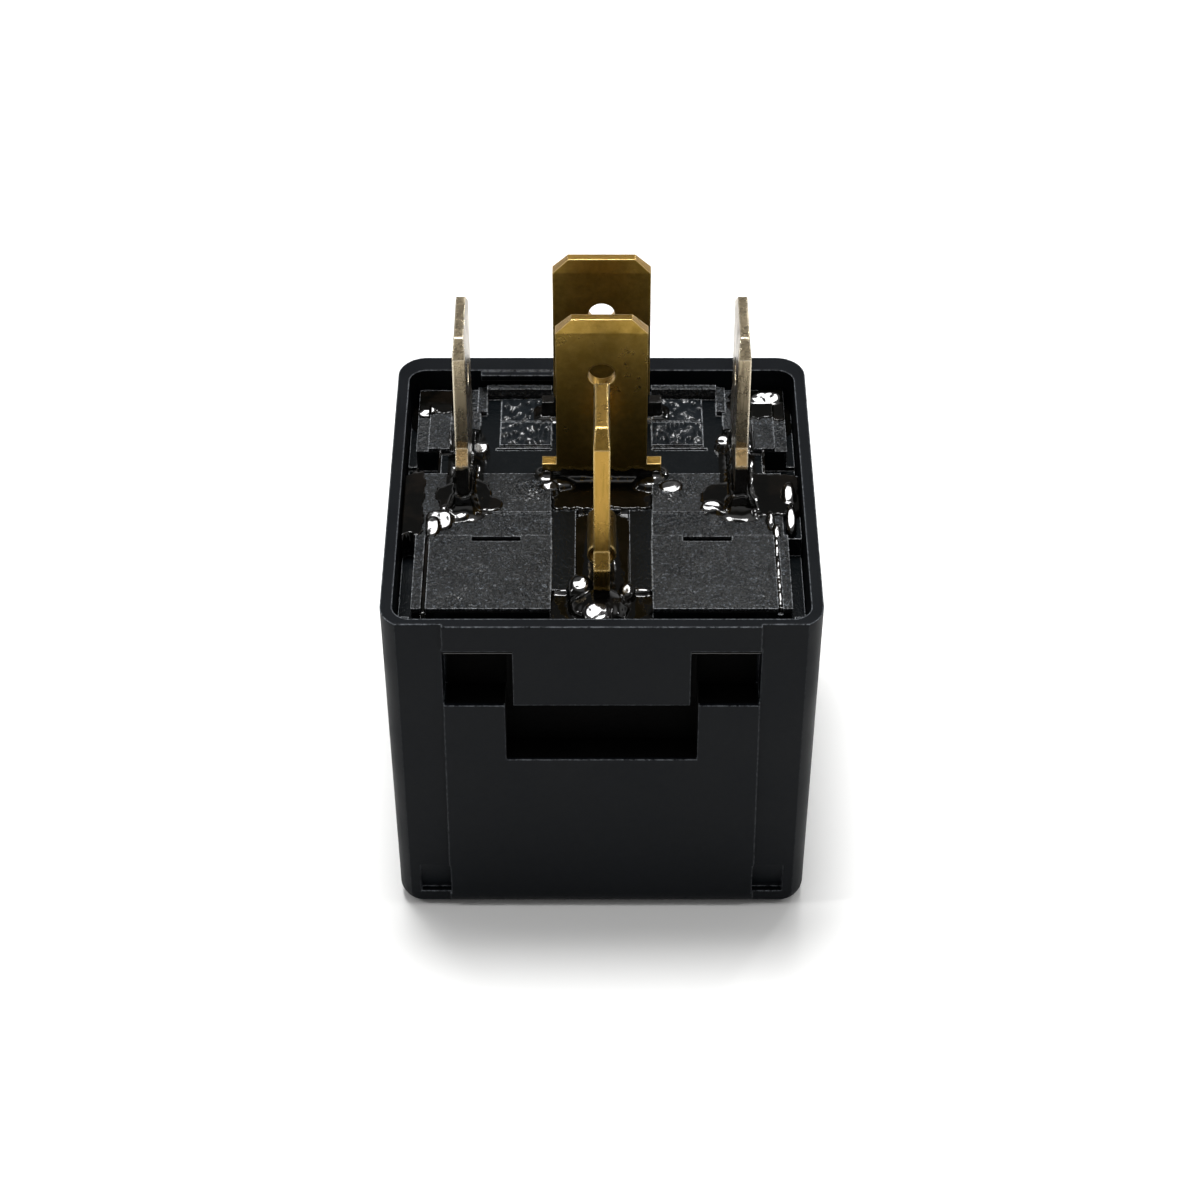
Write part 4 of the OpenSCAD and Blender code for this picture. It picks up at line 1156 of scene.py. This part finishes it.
@dataclass(frozen=True)
class SoftLight:
    """One soft rectangular light."""

    name: str
    place: Place
    size: tuple[float, float]
    watts: float

    def hang(self, aim: Vector) -> None:
        """Hang the light.

        Args:
            aim: Point that it looks at.
        """
        light = bpy.data.lights.new(self.name, "AREA")
        light.shape = "RECTANGLE"
        light.size, light.size_y = self.size
        light.energy = self.watts
        obj = bpy.data.objects.new(self.name, light)
        obj.location = self.place
        obj.rotation_euler = (aim - Vector(self.place)).to_track_quat("-Z", "Y").to_euler()
        bpy.context.scene.collection.objects.link(obj)


@dataclass
class Studio:
    """White paper, soft light from above and behind, and the camera."""

    aim: Vector = field(default_factory=lambda: Vector((-0.106 * MM, 0.0, 15.27 * MM)))
    distance: float = 0.1989
    elevation_deg: float = 41.42
    lens_mm: float = 90.8
    sensor_mm: float = 36.0
    paper_half: float = 1.5
    light_aim: Vector = field(default_factory=lambda: Vector((0.0, 0.0, 0.02)))
    lights: Sequence[SoftLight] = (
        SoftLight("key_above", (-0.025, 0.1, 0.5), (0.17, 0.15), 2.6),
        SoftLight("strip_left", (-0.36, -0.06, 0.32), (0.03, 0.12), 0.3),
        SoftLight("strip_right", (0.36, -0.06, 0.32), (0.03, 0.12), 0.25),
        SoftLight("back_right", (0.3, 0.44, 0.3), (0.05, 0.05), 0.4),
    )
    # Brightness of the room overhead, halfway up and at the horizon
    ceiling: float = 1.0
    wall: float = 0.08
    horizon: float = 0.5

    def floor(self) -> None:
        """Lay the paper."""
        mesh = bpy.data.meshes.new("paper_sweep")
        bm = bmesh.new()
        bmesh.ops.create_grid(bm, x_segments=2, y_segments=2, size=self.paper_half)
        bm.to_mesh(mesh)
        bm.free()
        obj = bpy.data.objects.new("paper_sweep", mesh)
        bpy.context.scene.collection.objects.link(obj)
        obj.data.materials.append(PaperSweep("white_paper", "fafaf9", "f4f4f2").build())

    def room(self) -> None:
        """Light the room: white low down and overhead, dimmer in between."""
        world = bpy.data.worlds.new("white_room")
        bpy.context.scene.world = world
        world.use_nodes = True
        tree = world.node_tree
        tree.nodes.clear()
        look = add_node(tree, "TexCoord", output="Generated")
        rise = add_node(tree, "SeparateXYZ", {"Vector": look}, "Z")
        upper = {"From Min": 0.78, "From Max": 0.92, "To Min": self.wall, "To Max": self.ceiling}
        above = add_node(tree, "MapRange", {"Value": rise, **upper})
        lower = {"From Min": 0.5, "From Max": 0.25, "To Max": self.horizon}
        below = add_node(tree, "MapRange", {"Value": rise, **lower})
        strength = add_node(tree, "Math", {0: above, 1: below}, operation="ADD")
        back = add_node(tree, "Background", {"Color": (1.0, 1.0, 1.0, 1.0), "Strength": strength})
        add_node(tree, "OutputWorld", {"Surface": back})

    def camera(self) -> None:
        """Place the camera at the front, looking down."""
        data = bpy.data.cameras.new("camera")
        data.lens = self.lens_mm
        data.sensor_width = self.sensor_mm
        data.clip_start = 0.01
        data.clip_end = 10.0
        obj = bpy.data.objects.new("camera", data)
        rise = math.radians(self.elevation_deg)
        back = Vector((0.0, -math.cos(rise), math.sin(rise)))
        obj.location = self.aim + back * self.distance
        obj.rotation_euler = (-back).to_track_quat("-Z", "Y").to_euler()
        bpy.context.scene.collection.objects.link(obj)
        bpy.context.scene.camera = obj

    def build(self) -> None:
        """Set up the whole studio."""
        self.floor()
        self.room()
        for light in self.lights:
            light.hang(self.light_aim)
        self.camera()
        view = bpy.context.scene.view_settings
        view.view_transform = "Standard"
        view.look = "None"


def main() -> None:
    """Dress the relay and light it."""
    logging.basicConfig(level=logging.INFO)
    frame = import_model()
    nodes = frame["nodes"]
    dresser = Dresser(nodes)
    base_top_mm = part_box("cover")[1][2] / MM - RIM_DEPTH_MM
    HousingLook(dresser, base_top_mm).build()
    BladeLook(dresser, base_top_mm).build()
    MechanismLook(dresser).build()
    # Two-part potting resin: brown-black glass
    resin = PottingResin("potting_resin", "050504", "110d09").build()
    ResinLook(resin, nodes, base_top_mm).build()
    Studio().build()


if __name__ == "__main__":
    main()
